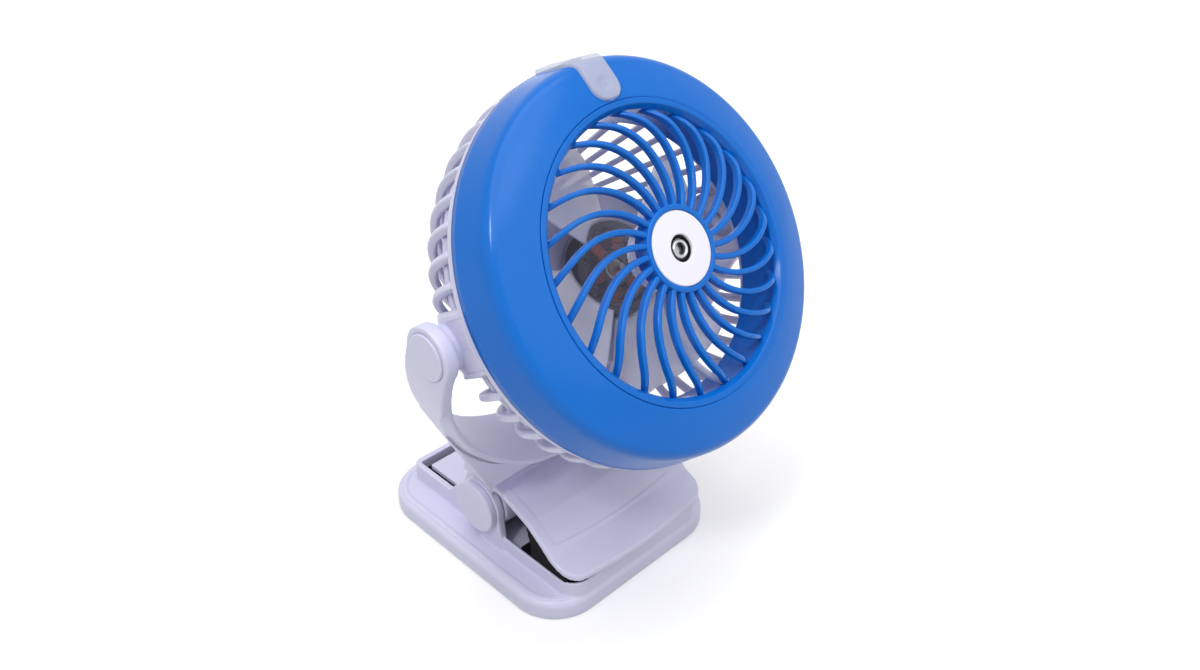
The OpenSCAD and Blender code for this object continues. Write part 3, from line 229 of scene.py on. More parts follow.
def moulded(name, colour, rough, spread=0.03, coat=0.0, grain=0.05, subsurface=0.0, edge=1.06, gloss=0.5):
    """Injection-moulded plastic: faint tone drift, fine grain, slow flow waviness, and edges a little lighter as a
    painted highlight.
    """
    mat, tree, bsdf = nodes_of(name)
    drift = noise(tree, 22.0, 3.0)
    tone = ramp(tree, drift, shade(colour, 1 - spread), shade(colour, 1 + spread), 0.35, 0.65)
    geometry = tree.nodes.new("ShaderNodeNewGeometry")
    # painted highlight: convex edges made lighter by their pointiness
    edges = ramp(tree, geometry.outputs["Pointiness"], (1, 1, 1, 1), (edge, edge, edge, 1), 0.52, 0.60)
    mix = tree.nodes.new("ShaderNodeMix")
    mix.data_type, mix.blend_type = "RGBA", "MULTIPLY"
    mix.inputs["Factor"].default_value = 1.0
    tree.links.new(tone, mix.inputs[MIX_A])
    tree.links.new(edges, mix.inputs[MIX_B])
    tree.links.new(mix.outputs[MIX_RESULT], bsdf.inputs["Base Color"])
    tree.links.new(mapped(tree, drift, rough - 0.05, rough + 0.06), bsdf.inputs["Roughness"])
    fine, slow = noise(tree, 1700.0, 2.0), noise(tree, 60.0, 2.0)
    bump(tree, bsdf, [(slow, 0.10, 0.0006), (fine, grain, 0.00012)])
    settle(bsdf, {"IOR": 1.5, "Specular IOR Level": gloss, "Coat Weight": coat, "Coat Roughness": 0.08,
                  "Subsurface Weight": subsurface, "Subsurface Radius": (0.004, 0.004, 0.005),
                  "Subsurface Scale": 1.0})
    return mat


def translucent(name, colour, rough, through, ior=1.46, alpha=1.0):
    """Tinted see-through plastic with a cloudy, slightly uneven body."""
    mat, tree, bsdf = nodes_of(name)
    cloud, fine = noise(tree, 40.0, 3.0), noise(tree, 900.0, 2.0)
    tone = ramp(tree, cloud, shade(colour, 0.94), shade(colour, 1.03), 0.35, 0.65)
    tree.links.new(tone, bsdf.inputs["Base Color"])
    tree.links.new(mapped(tree, cloud, rough - 0.04, rough + 0.05), bsdf.inputs["Roughness"])
    bump(tree, bsdf, [(fine, 0.05, 0.0001)])
    settle(bsdf, {"Transmission Weight": through, "IOR": ior, "Alpha": alpha})
    return mat


def rubber(name, colour, rough=0.72, gloss=0.5):
    """Matt rubber or dark plastic with a fine grain and a little dust."""
    mat, tree, bsdf = nodes_of(name)
    fine, dust = noise(tree, 1400.0, 4.0), noise(tree, 90.0, 5.0)
    tone = ramp(tree, dust, shade(colour, 0.8), shade(colour, 1.5), 0.35, 0.75)
    tree.links.new(tone, bsdf.inputs["Base Color"])
    tree.links.new(mapped(tree, dust, rough - 0.08, rough + 0.12), bsdf.inputs["Roughness"])
    bump(tree, bsdf, [(fine, 0.25, 0.0002)])
    settle(bsdf, {"Specular IOR Level": gloss})
    return mat


def metal(name, colour, rough, grain=0.06):
    """Machined metal with fine turning marks and slight tarnish."""
    mat, tree, bsdf = nodes_of(name)
    marks, tarnish = noise(tree, 500.0, 6.0, 0.7), noise(tree, 160.0, 3.0)
    tree.links.new(ramp(tree, tarnish, shade(colour, 0.82), colour, 0.3, 0.6), bsdf.inputs["Base Color"])
    tree.links.new(mapped(tree, marks, rough - 0.08, rough + 0.1), bsdf.inputs["Roughness"])
    bump(tree, bsdf, [(marks, grain, 0.0001)])
    settle(bsdf, {"Metallic": 1.0})
    return mat


def board_material():
    """Solder-masked board with brighter copper tracks under the mask."""
    mat, tree, bsdf = nodes_of("board")
    coords = tree.nodes.new("ShaderNodeTexCoord")
    brick = tree.nodes.new("ShaderNodeTexBrick")
    settle(brick, {"Scale": 260.0, "Color1": srgb(20, 96, 52), "Color2": srgb(24, 110, 60),
                   "Mortar": srgb(52, 140, 84)})
    tree.links.new(coords.outputs["Object"], brick.inputs["Vector"])
    tree.links.new(brick.outputs["Color"], bsdf.inputs["Base Color"])
    bump(tree, bsdf, [(brick.outputs["Fac"], 0.1, 0.0001)])
    settle(bsdf, {"Roughness": 0.35})
    return mat


def wick_material():
    """Pale felted fibre."""
    mat, tree, bsdf = nodes_of("wick_fibre")
    fibre = noise(tree, 2600.0, 6.0, 0.8)
    tone = ramp(tree, fibre, srgb(205, 200, 190), srgb(246, 244, 238), 0.3, 0.7)
    tree.links.new(tone, bsdf.inputs["Base Color"])
    bump(tree, bsdf, [(fibre, 0.5, 0.0003)])
    settle(bsdf, {"Roughness": 0.9})
    return mat


WHITE = srgb(212, 212, 237)
BLUE = srgb(10, 109, 205)
materials = {
    "white_shell": moulded("white_shell", WHITE, 0.36, subsurface=0.06),
    # edge=1.12 gives the blue a stronger painted highlight along its edges
    "blue_shell": moulded("blue_shell", BLUE, 0.18, spread=0.025, grain=0.03, edge=1.12, gloss=0.22),
    "nozzle_white": moulded("nozzle_white", srgb(241, 239, 250), 0.28, spread=0.01),
    "silicone": translucent("silicone", srgb(205, 211, 232), 0.40, 0.0, ior=1.41, alpha=0.52),
    "black_rubber": rubber("black_rubber", srgb(13, 13, 17), gloss=0.12),
    "blade_plastic": translucent("blade_plastic", srgb(250, 248, 255), 0.16, 0.0, alpha=0.72),
    "hub_smoke": translucent("hub_smoke", srgb(170, 166, 176), 0.06, 0.0, ior=1.6, alpha=0.2),
    "steel": metal("steel", srgb(196, 198, 202), 0.3),
    "dark_steel": metal("dark_steel", srgb(82, 82, 90), 0.35),
    "copper": metal("copper", srgb(168, 90, 52), 0.3),
    "bronze": metal("bronze", srgb(190, 152, 98), 0.42),
    "magnet": rubber("magnet", srgb(44, 44, 48), 0.5),
    "board": board_material(),
    "switch_plastic": rubber("switch_plastic", srgb(30, 30, 33), 0.5),
    "cell_wrap": moulded("cell_wrap", srgb(46, 96, 150), 0.3, coat=0.3),
    "lens": translucent("lens", srgb(150, 240, 170), 0.1, 0.6),
    "wick_fibre": wick_material(),
}


def dress(obj, slot, body, *replaced, material=None):
    """Gives a new piece the material of its slot, or the one named, attaches it to its body, and hides the CAD
    nodes it stands for.
    """
    obj.data.materials.clear()
    obj.data.materials.append(materials[material or slot])
    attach(obj, body)
    if replaced:
        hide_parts(*replaced)
    return obj


# -------------------- mesh tools
def placed(name, data):
    """A new object in the scene."""
    obj = bpy.data.objects.new(name, data)
    bpy.context.scene.collection.objects.link(obj)
    return obj


def mesh_object(name, verts, faces, matrix=Matrix.Identity(4), weighted=True):
    """A smooth-shaded mesh from points in millimetres, placed by matrix."""
    mesh = bpy.data.meshes.new(name)
    mesh.from_pydata([matrix @ (Vector(v) * MM) for v in verts], [], faces)
    return finish_mesh(name, mesh, weighted)


def finish_mesh(name, mesh, weighted=True):
    """An object from a mesh, with its doubles merged, its faces turned outwards and smooth shading."""
    bm = bmesh.new()
    bm.from_mesh(mesh)
    bmesh.ops.remove_doubles(bm, verts=bm.verts, dist=1e-7)
    bmesh.ops.recalc_face_normals(bm, faces=bm.faces)
    bm.to_mesh(mesh)
    bm.free()
    for polygon in mesh.polygons:
        polygon.use_smooth = True
    obj = placed(name, mesh)
    if weighted:
        modifier = obj.modifiers.new("normals", "WEIGHTED_NORMAL")
        modifier.keep_sharp = True
    return obj


def fillet(points, radii, steps=5, closed=True):
    """Rounds the corners of a 2D outline. radii is one number or one for each point; 0 keeps a corner."""
    n = len(points)
    if isinstance(radii, (int, float)):
        radii = [radii] * n
    out = []
    for i, p in enumerate(points):
        r = radii[i]
        if r <= 0 or (not closed and i in (0, n - 1)):
            out.append(tuple(p))
            continue
        p, a, b = Vector(p), Vector(points[i - 1]), Vector(points[(i + 1) % n])
        u, v = (a - p), (b - p)
        reach = min(u.length, v.length) * 0.499
        u.normalize()
        v.normalize()
        half = math.acos(max(-1, min(1, u.dot(v)))) / 2
        cut = min(r / math.tan(half), reach)
        start, end = p + u * cut, p + v * cut
        for k in range(steps + 1):
            t = k / steps
            out.append(tuple(start * (1 - t) ** 2 + p * 2 * t * (1 - t) + end * t * t))
    return out


def loop_faces(n, m):
    """Faces between n rings of m points each, closed both ways."""
    return [(k * m + i, (k + 1) % n * m + i, (k + 1) % n * m + (i + 1) % m, k * m + (i + 1) % m)
            for k in range(n) for i in range(m)]


def revolve(profile, n=160):
    """Closed (r, s) profile turned about the z axis: verts and faces in millimetres."""
    verts = [(r * math.cos(WHOLE_TURN * k / n), r * math.sin(WHOLE_TURN * k / n), s)
             for k in range(n) for r, s in profile]
    return verts, loop_faces(n, len(profile))


def revolved(name, profile, matrix, n=160):
    """A piece turned from a closed (r, s) profile."""
    return mesh_object(name, *revolve(profile, n), matrix)


def ring_profile(r_out, r_in, s0, s1, radius):
    """Profile of a plain ring with rounded corners."""
    return fillet([(r_in, s0), (r_out, s0), (r_out, s1), (r_in, s1)], radius, 3)


def sweep(stations):
    """A closed tube through stations, each a list of 3D points: verts and faces, with capped ends."""
    m = len(stations[0])
    verts = [p for station in stations for p in station]
    faces = [(k * m + i, k * m + (i + 1) % m, (k + 1) * m + (i + 1) % m, (k + 1) * m + i)
             for k in range(len(stations) - 1) for i in range(m)]
    last = (len(stations) - 1) * m
    return verts, faces + [tuple(range(m - 1, -1, -1)), tuple(range(last, last + m))]


def slab(top, low, row):
    """A plate between two grids of points, each with row points to a row: verts and faces, with its rim."""
    n, last, end = len(top), len(top) // row - 1, row - 1
    faces = []
    for i in range(last):
        for j in range(end):
            a, b, c, d = i * row + j, (i + 1) * row + j, (i + 1) * row + j + 1, i * row + j + 1
            faces += [(a, b, c, d), (n + d, n + c, n + b, n + a)]
    rim = ([i * row for i in range(last + 1)] + [last * row + j for j in range(1, row)]
           + [i * row + end for i in range(last - 1, -1, -1)] + list(range(end - 1, 0, -1)))
    faces += [(a, b, n + b, n + a) for a, b in zip(rim, rim[1:] + rim[:1])]
    return top + low, faces


def together(parts):
    """Joins (verts, faces) parts into one pair."""
    verts, faces = [], []
    for v, f in parts:
        start = len(verts)
        verts += [tuple(p) for p in v]
        faces += [tuple(i + start for i in face) for face in f]
    return verts, faces


def turned(part, angle):
    """A (verts, faces) part turned about the z axis by an angle in degrees."""
    c, s = math.cos(math.radians(angle)), math.sin(math.radians(angle))
    return [(c * x - s * y, s * x + c * y, z) for x, y, z in part[0]], part[1]


def rounded_section(w, h, r_top, r_low, steps=4):
    """Outline of a bar's section, w wide and h deep, its top at 0."""
    return fillet([(-w / 2, 0), (w / 2, 0), (w / 2, -h), (-w / 2, -h)], [r_top, r_top, r_low, r_low], steps)


def prism(outline, low, high, axis="X"):
    """A closed (u, v) outline pulled along an axis: (y, z) along X, or (x, y) along Z. Verts and faces."""
    n = len(outline)
    place = (lambda t, u, v: (t, u, v)) if axis == "X" else (lambda t, u, v: (u, v, t))
    verts = [place(t, u, v) for t in (low, high) for u, v in outline]
    return verts, ([tuple(range(n - 1, -1, -1)), tuple(range(n, 2 * n))]
                   + [(i, (i + 1) % n, n + (i + 1) % n, n + i) for i in range(n)])


def take_away(obj, cutter):
    """Has a boolean on obj remove the cutter's shape once obj is baked."""
    modifier = obj.modifiers.new("cut", "BOOLEAN")
    modifier.operation, modifier.object, modifier.solver = "DIFFERENCE", cutter, "EXACT"


def softened(node, name, voxel=0.75, passes=5, add=(), cut=(), shape=None):
    """A copy of a CAD node with its edges rounded, as a moulding's are: remeshed finely, then relaxed.

    The parts in cut are taken away and those in add put in first. shape moves each finished point."""
    obj = placed(name, frame["nodes"][node].data.copy())
    bm = bmesh.new()
    bm.from_mesh(obj.data)
    bmesh.ops.remove_doubles(bm, verts=bm.verts, dist=2e-6)
    bm.to_mesh(obj.data)
    bm.free()
    cutters = [mesh_object("cutter", *part, weighted=False) for part in cut]
    for cutter in cutters:
        take_away(obj, cutter)
    obj = baked(obj, name)
    bm = bmesh.new()
    bm.from_mesh(obj.data)
    fillers = [mesh_object("filler", *part, weighted=False) for part in add]
    for filler in fillers:
        bm.from_mesh(filler.data)
    bm.to_mesh(obj.data)
    bm.free()
    for tool in cutters + fillers:
        bpy.data.objects.remove(tool)
    remesh = obj.modifiers.new("remesh", "REMESH")
    remesh.mode, remesh.voxel_size = "VOXEL", voxel * MM
    relax = obj.modifiers.new("relax", "SMOOTH")
    relax.factor, relax.iterations = 0.5, passes
    obj = baked(obj, name)
    if shape:
        for vertex in obj.data.vertices:
            vertex.co = Vector(shape(*(vertex.co / MM))) * MM
    for polygon in obj.data.polygons:
        polygon.use_smooth = True
    return obj


def baked(obj, name):
    """The object as a new one with its modifiers, or its curve's bevel, turned into plain mesh."""
    bpy.context.view_layer.update()
    mesh = bpy.data.meshes.new_from_object(obj.evaluated_get(bpy.context.evaluated_depsgraph_get()))
    bpy.data.objects.remove(obj)
    return placed(name, mesh)


def ease(t):
    """0 up to t = 0, 1 from t = 1, and a smooth step between."""
    t = min(1.0, max(0.0, t))
    return t * t * (3 - 2 * t)


def along_line(points, u):
    """Height at u of a line through (u, v) points, whose end pieces run on."""
    for (u0, v0), (u1, v1) in zip(points, points[1:]):
        if u <= u1:
            break
    return v0 + (v1 - v0) * (u - u0) / (u1 - u0)


# -------------------- tank ring
def ring_outline(steps=10):
    """Outside of the ring from its rear edge over the shoulder to the inner edge of its face."""
    rear, shoulder, face, inner = (Vector(p) for p in ((RING_R, RING_S0), RING_SIDE, RING_FACE, RING_IN))
    side, front, across = shoulder - rear, inner - face, face - shoulder
    k = (across.x * front.y - across.y * front.x) / (side.x * front.y - side.y * front.x)
    corner = shoulder + side * k
    points = [rear.lerp(shoulder, t / 6) for t in range(6)]
    for i in range(steps + 1):
        t = i / steps
        points.append(shoulder * (1 - t) ** 2 + corner * 2 * t * (1 - t) + face * t * t)
    crown = Vector((front.y, -front.x)).normalized() * RING_CROWN
    for i in range(1, 9):
        t = i / 8
        points.append(face.lerp(inner, t) + crown * 4 * t * (1 - t))
    return [tuple(p) for p in points]


def tank_ring():
    """The hollow ring that holds the water: open at the back, with the filler hole through its top."""
    r, s = RING_IN
    lip = [(r + 0.6, s - 0.1), (r + 0.15, s - 0.3), (r, s - 0.7)]
    cavity = [(r + TANK_WALL, RING_S0), (r + TANK_WALL, s - TANK_WALL - 0.6),
              (RING_FACE[0] - 0.8, RING_FACE[1] - TANK_WALL), (RING_SIDE[0] - TANK_WALL, RING_SIDE[1]),
              (RING_R - TANK_WALL, RING_S0)]
    ring = revolved("tank_ring", ring_outline()[:-1] + lip + [(r, RING_S0)] + cavity, HEAD, 256)
    drill = revolve(ring_profile(FILL_R, 0.01, RING_SIDE[0] - 12, RING_R + 5, 0.01), 64)
    cutter = mesh_object("cutter", *drill, FILL_HOLE, weighted=False)
    take_away(ring, cutter)
    ring.modifiers.move(1, 0)
    ring = baked(ring, "tank_ring")
    bpy.data.objects.remove(cutter)
    dress(ring, "blue_shell", "head", "tank_shell")


# -------------------- front grille and nozzle
def grille_front(r):
    """Axial position of the ribs' front at radius r: flat in the middle, bent back towards the barrel."""
    if r <= GRILLE_FLAT_R:
        return GRILLE_S
    reach = min(r - GRILLE_FLAT_R, GRILLE_BEND_R * 0.6)
    dip = max(0.0, r - RIB_DIP_R) ** 2 * RIB_DIP
    return GRILLE_S - GRILLE_BEND_R + math.sqrt(GRILLE_BEND_R ** 2 - reach ** 2) - dip


def grille_rib(phase):
    """One rib, along an arc from the hub ring out into the barrel's edge."""
    steps = 34
    stations = []
    for k in range(steps + 1):
        t = math.radians(RIB_TURN[0] + (RIB_TURN[1] - RIB_TURN[0]) * k / steps)
        out = Vector((math.cos(t), math.sin(t)))
        centre = Vector((RIB_START_R, RIB_CURVE_R)) + out * RIB_CURVE_R
        top = grille_front(centre.length)
        share = (centre.length - RIB_TAPER_R[0]) / (RIB_TAPER_R[1] - RIB_TAPER_R[0])
        width = RIB_W - RIB_TAPER * min(1.0, max(0.0, share))
        section = rounded_section(width, RIB_D, width * 0.48, 0.45, 6)
        stations.append([(centre.x + out.x * u, centre.y + out.y * u, top + v) for u, v in section])
    return turned(sweep(stations), phase)


def front_grille():
    """Ribs, the barrel that they end in, the hub ring and the nozzle's seat, as one moulding."""
    ribs = [grille_rib(RIB_PHASE + 360 * i / RIB_N) for i in range(RIB_N)]
    barrel = revolve(fillet([(BARREL_IN, BARREL_S0), (BARREL_OUT, BARREL_S0), (BARREL_OUT, BARREL_S1),
                             (BARREL_OUT - 2.3, BARREL_S1 + 0.1), (BARREL_IN, BARREL_S1 - 2.2)],
                            [0.3, 0.3, 0.35, 0.9, 0.7], 4), 224)
    top = GRILLE_S + 0.5
    hub = revolve(fillet([(HUB_RING_IN, top - HUB_RING_D), (HUB_RING_OUT, top - HUB_RING_D),
                          (HUB_RING_OUT, top), (HUB_RING_IN, top)], [0.4, 0.4, 0.8, 0.5], 4), 128)
    seat = revolve(ring_profile(HUB_RING_IN + 0.3, SEAT_IN, SEAT_S0, SEAT_S1, 0.2), 96)
    obj = mesh_object("grille", *together(ribs + [barrel, hub, seat]), HEAD)
    dress(obj, "blue_shell", "head", "front_grille", "air_barrel")


def nozzle():
    """The white disc, the black seal in its hole, whose black also paints the shade deep in the hole, and the
    metal eyelet that the mist comes out of.
    """
    front = GRILLE_S + 0.3
    back = front - NOZZLE_T
    floor = back + 0.8
    disc = fillet([(NOZZLE_BORE_R, back), (NOZZLE_R, back), (NOZZLE_R, front - 0.1),
                   (NOZZLE_HOLE_R + 0.4, front + 0.05), (NOZZLE_HOLE_R, front - 0.35),
                   (NOZZLE_HOLE_R, floor), (NOZZLE_BORE_R, floor)], [0.1, 0.2, 0.6, 0.25, 0.15, 0.1, 0.15], 4)
    dress(revolved("mist_nozzle", disc, HEAD, 160), "nozzle_white", "head", "nozzle_disc")
    collar = fillet([(3.9, floor), (5.4, floor), (5.4, floor + 0.4), (4.3, floor + 0.5)], 0.15, 4)
    # the seal's black is partly a real seal and partly painted shade in the hole
    dress(revolved("nozzle_seal_and_shade", collar, HEAD, 96), "steel", "head", "nozzle_ring", material="black_rubber")
    eyelet = fillet([(2.2, floor - 0.3), (3.9, floor - 0.3), (3.9, floor + 0.3), (3.4, floor + 0.9),
                     (2.5, floor + 0.7)], 0.25, 4)
    dress(revolved("nozzle_eyelet", eyelet, HEAD, 96), "steel", "head")


# -------------------- rear cage
def cage_side(s):
    """Outer radius of the cage at an axial position: full near the rim, rounding in towards the back."""
    return CAGE_R - (CAGE_R - CAGE_BACK_R) * max(0.0, (CAGE_S0 - s) / CAGE_LEN) ** CAGE_FULLNESS


def cage_rib(phase):
    """One rib: a bar that follows the cage's side from the rim to the back, then runs in to the pod."""
    side_steps, back_steps, under_rim, bend = 28, 8, 0.8, 3.0
    path = []
    for k in range(side_steps + 1):
        s = CAGE_S0 - under_rim - (CAGE_LEN - under_rim) * k / side_steps
        path.append((math.sqrt(cage_side(s) ** 2 - CAGE_SKEW ** 2), s))
    end = math.sqrt((POD_R - 0.6) ** 2 - CAGE_SKEW ** 2)
    last = path[-1][0]
    path += [(last + (end - last) * k / back_steps, CAGE_S0 - CAGE_LEN) for k in range(1, back_steps + 1)]
    path = fillet(path, [0] * side_steps + [bend] + [0] * back_steps, 5, closed=False)
    stations = []
    for i, (x, s) in enumerate(path):
        t = i / (len(path) - 1)
        w, d = (a + (b - a) * t for a, b in (CAGE_RIB_W, CAGE_RIB_D))
        section = rounded_section(w, d, w * 0.4, w * 0.4, 4)
        a, b = path[max(i - 1, 0)], path[min(i + 1, len(path) - 1)]
        along = Vector((b[0] - a[0], b[1] - a[1])).normalized()
        out = Vector((-along.y, along.x))
        stations.append([(x + out.x * v, CAGE_SKEW + u, s + out.y * v) for u, v in section])
    return turned(sweep(stations), phase)


def cage_panel(centre):
    """Solid panel in the cage's side, round the pivot boss. centre is its angle in degrees."""
    top, low, steps, fans = CAGE_S0 - 0.6, CAGE_S0 - PANEL_LEN, 20, 12
    section = []
    for k in range(steps + 1):
        s = low + (top - low) * k / steps
        section.append((cage_side(s) + PANEL_PROUD, s))
    section += [(cage_side(s) - PANEL_IN, s) for s in (top, (top + low) / 2, low)]
    section = fillet(section, [1.2] + [0] * (steps - 1) + [0.5, 0.5, 0, 1.2], 4)
    stations = []
    for k in range(fans + 1):
        angle = math.radians(-PANEL_HALF_ANGLE + 2 * PANEL_HALF_ANGLE * k / fans + centre)
        c, d = math.cos(angle), math.sin(angle)
        inset = 0.5 if k in (0, fans) else 0.0
        stations.append([((r - inset) * c, (r - inset) * d, s) for r, s in section])
    return sweep(stations)


def rear_cage():
    """Ribs, rim, hoop, side panels and the pod's shell in one, and the two pivot bosses."""
    ribs = [cage_rib(360 * i / CAGE_RIBS) for i in range(CAGE_RIBS)]
    inner, seat = CAGE_R - CAGE_RIM_W, RING_IN[0] + 0.7
    low, top = CAGE_S0 - 1.8, RING_S0 - 0.25
    rim = revolve(fillet([(inner, low), (CAGE_R - 0.3, low), (CAGE_R, CAGE_S0), (CAGE_R, top), (seat, top),
                          (seat, CAGE_S0 - 0.3), (inner, CAGE_S0 - 0.3)],
                         [0.6, 0.8, 0.4, 0.3, 0.3, 0.3, 0.3], 4), 224)
    hoop = revolve(ring_profile(inner, inner - HOOP_W, CAGE_S0 - HOOP_S[0], CAGE_S0 - HOOP_S[1], 0.9), 192)
    tube_end, face_back = HUB_FRONT - 7, POD_FRONT - POD_FACE_T
    pod = revolve(fillet([(POD_R, POD_BACK), (POD_R, POD_FRONT), (BUSH_TUBE_R, POD_FRONT),
                          (BUSH_TUBE_R, tube_end), (BUSH_R, tube_end), (BUSH_R, face_back),
                          (POD_R - POD_WALL, face_back), (POD_R - POD_WALL, POD_BACK)],
                         [0.3, 1.6, 0.8, 0.4, 0.2, 0.2, 1.0, 0.3], 4), 128)
    obj = mesh_object("cage", *together(ribs + [rim, hoop, pod, cage_panel(0), cage_panel(180)]), HEAD)
    dress(obj, "white_shell", "head", "rear_cage")
    boss = fillet([(BOSS_HOLE_R, BOSS_X0), (BOSS_R, BOSS_X0), (BOSS_R, BOSS_X), (BOSS_HOLE_R, BOSS_X)],
                  [0, 0, 0.7, 0.3], 4)
    for side, word in SIDES:
        dress(revolved("boss_" + word, boss, axle(side, PIVOT), 96), "white_shell", "head")


# -------------------- impeller and motor
def blade_height(t):
    """Axial position of a blade's sheet, from -1 at one edge to 1 at the other."""
    return BLADE_MID + BLADE_RISE / 2 * t - BLADE_CAMBER * (t * t - 0.4) * 0.5


def blade(phase):
    """A wide cambered blade whose tip corners are round and whose edges thin out."""
    across, out, margin = 44, 22, 0.4
    half_span = math.radians(BLADE_SPAN / 2)
    half = BLADE_R * math.sin(half_span)
    top, low = [], []
    for i in range(across + 1):
        a = -half_span + 2 * half_span * i / across
        gap = (half_span - abs(a)) * BLADE_R
        cut = 0.0
        if gap < BLADE_CORNER:
            cut = BLADE_CORNER - math.sqrt(max(BLADE_CORNER ** 2 - (BLADE_CORNER - gap) ** 2, 0))
        for j in range(out + 1):
            r = (HUB_R - 1.0) + (BLADE_R - cut - HUB_R + 1.0) * j / out
            x, y = r * math.cos(a), r * math.sin(a)
            z = blade_height(y / half)
            rim = min(gap + margin, (BLADE_R - cut - r) + margin, BLADE_EDGE) / BLADE_EDGE
            thick = BLADE_T * (0.35 + 0.65 * math.sqrt(min(1.0, rim)))
            top.append((x, y, z + BLADE_T / 2 + thick / 2))
            low.append((x, y, z + BLADE_T / 2 - thick / 2))
    return turned(slab(top, low, out + 1), phase)


def impeller():
    """The smoky hub with its shaft socket, and the blades round it."""
    inner, boss_r, boss_end = HUB_FRONT - 2.5, 3.3, HUB_FRONT - 5.5
    hub = fillet([(0, HUB_FRONT), (HUB_R, HUB_FRONT), (HUB_R, -1), (HUB_R - HUB_WALL, -1),
                  (HUB_R - HUB_WALL, inner), (boss_r, inner), (boss_r, boss_end),
                  (SHAFT_R, boss_end), (SHAFT_R, HUB_FRONT - 1.2), (0, HUB_FRONT - 1.2)],
                 [0, 3.0, 0.3, 0.3, 1.2, 0.4, 0.2, 0, 0, 0], 6)
    dress(revolved("rotor_hub", hub, HEAD, 128), "blade_plastic", "rotor", material="hub_smoke")
    blades = [blade(BLADE_PHASE - BLADE_SPAN / 2 + 360 * i / BLADES) for i in range(BLADES)]
    dress(mesh_object("blades", *together(blades), HEAD), "blade_plastic", "rotor", "impeller")


def coil_turn(loop, x, grow):
    """One turn of wire along a (y, s) loop round a tooth, x out from the axis and grow off the loop."""
    sides = 6
    verts = []
    for i, p in enumerate(loop):
        along = (Vector(loop[(i + 1) % len(loop)]) - Vector(loop[i - 1])).normalized()
        normal = Vector((along.y, -along.x))
        for j in range(sides):
            a = WHOLE_TURN * j / sides
            q = Vector(p) + normal * (COIL_WIRE_R * math.cos(a) + grow)
            verts.append((x + COIL_WIRE_R * math.sin(a), q.x, q.y))
    return verts, loop_faces(len(loop), sides)


def coils():
    """Wound coils on the stator's teeth: turns of enamelled wire, stacked outwards."""
    loop = fillet([(-2.6, -1.0), (2.6, -1.0), (2.6, 9.0), (-2.6, 9.0)], 1.2, 3)
    parts = []
    for tooth in range(TEETH):
        for k in range(COIL_TURNS):
            x = COIL_IN + COIL_WIRE_R + k * 2 * COIL_WIRE_R * 0.98
            parts.append(turned(coil_turn(loop, x, 0.25 if k % 2 else 0.0), 360 / TEETH * tooth))
    dress(mesh_object("stator_coils", *together(parts), HEAD, weighted=False), "copper", "head", "windings")


# -------------------- filler plug
def plug_path():
    """(point, normal) pairs along the ring's outside from the tongue's front end to the flap's rear tip."""
    outline = [Vector(p) for p in ring_outline(14)][::-1]
    rear = (Vector((RING_R, RING_S0)) - Vector(RING_SIDE)).normalized()
    outline.append(outline[-1] + rear * (RING_S0 - FLAP_TIP_S) / -rear.y)
    dense = []
    for a, b in zip(outline, outline[1:]):
        steps = max(1, round((b - a).length / 0.7))
        dense += [a.lerp(b, k / steps) for k in range(steps)]
    dense.append(outline[-1])
    dense = [p for p in dense if p.x > RING_IN[0] + 0.2 or p.y < 40]
    path = []
    for i, p in enumerate(dense):
        along = (dense[min(i + 2, len(dense) - 1)] - dense[max(i - 2, 0)]).normalized()
        path.append((p, Vector((-along.y, along.x))))
    return path


def plug_half_width(p, run, left):
    """Half width at a point with run behind it and left before it: a round tongue, a flare, a flap."""
    flare_s, flare_length, flare_r = 41.5, 6.0, 74
    flare = ease((flare_s - p.y) / flare_length) if p.x > flare_r else 0.0
    half = TONGUE_W / 2 + (FLAP_W - TONGUE_W) / 2 * flare
    nose, tail = TONGUE_W / 2, FLAP_CORNER
    if run < nose:
        half = math.sqrt(max(nose ** 2 - (nose - run) ** 2, 0.04))
    if left < tail:
        half = half - tail + math.sqrt(max(tail ** 2 - (tail - left) ** 2, 0.0))
    return half


def plug_lift(p, x, inset):
    """Height of the plug's top over the ring: round at its edges, with a dimple in the tongue."""
    lift = PLUG_T * math.sqrt(1 - (1 - min(inset / 1.1, 1.0)) ** 2) + 0.02
    dimple = Vector((x, p.x - DIMPLE_AT)).length / DIMPLE_R
    if dimple < 1 and p.y > 41:
        lift -= DIMPLE_D * (1 + math.cos(math.pi * max(0.0, dimple - 0.35) / 0.65)) / 2
    return lift


def filler_plug():
    """The silicone plug: a skin that lies on the ring and bends at its shoulder, and the stopper under it."""
    path = plug_path()
    steps = [(b - a).length for (a, _), (b, _) in zip(path, path[1:])]
    across = 20
    top, low = [], []
    for i, (p, normal) in enumerate(path):
        run, left = sum(steps[:i]), sum(steps[i:])
        half = plug_half_width(p, run, left)
        for j in range(across + 1):
            u = math.sin((-1 + 2 * j / across) * math.pi / 2)
            x = half * u
            lift = plug_lift(p, x, min(half * (1 - abs(u)), run, left))
            for points, h in ((top, lift), (low, 0.0)):
                r = p.x + normal.x * h
                points.append((x, math.sqrt(max(r * r - x * x, 0)), p.y + normal.y * h))
    skin = mesh_object("filler_plug", *slab(top, low, across + 1), HEAD, weighted=False)
    skin.data.materials.append(materials["silicone"])
    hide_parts("plug_anchor", "fill_plug")
    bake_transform(skin)
    low, top = RING_SIDE[0] - 2.4, RING_SIDE[0] + 1.5
    stopper = fillet([(0, low), (FILL_R - 1.3, low), (FILL_R - 0.5, top), (0, top)], [0, 0.5, 0.1, 0], 4)
    dress(revolved("plug_stopper", stopper, FILL_HOLE, 64), "silicone", "plug")


# -------------------- clip foot, jaw and yoke
JAW_UNDER = [Vector((LIP_Y + u, z)) for u, z in JAW_CURVE]


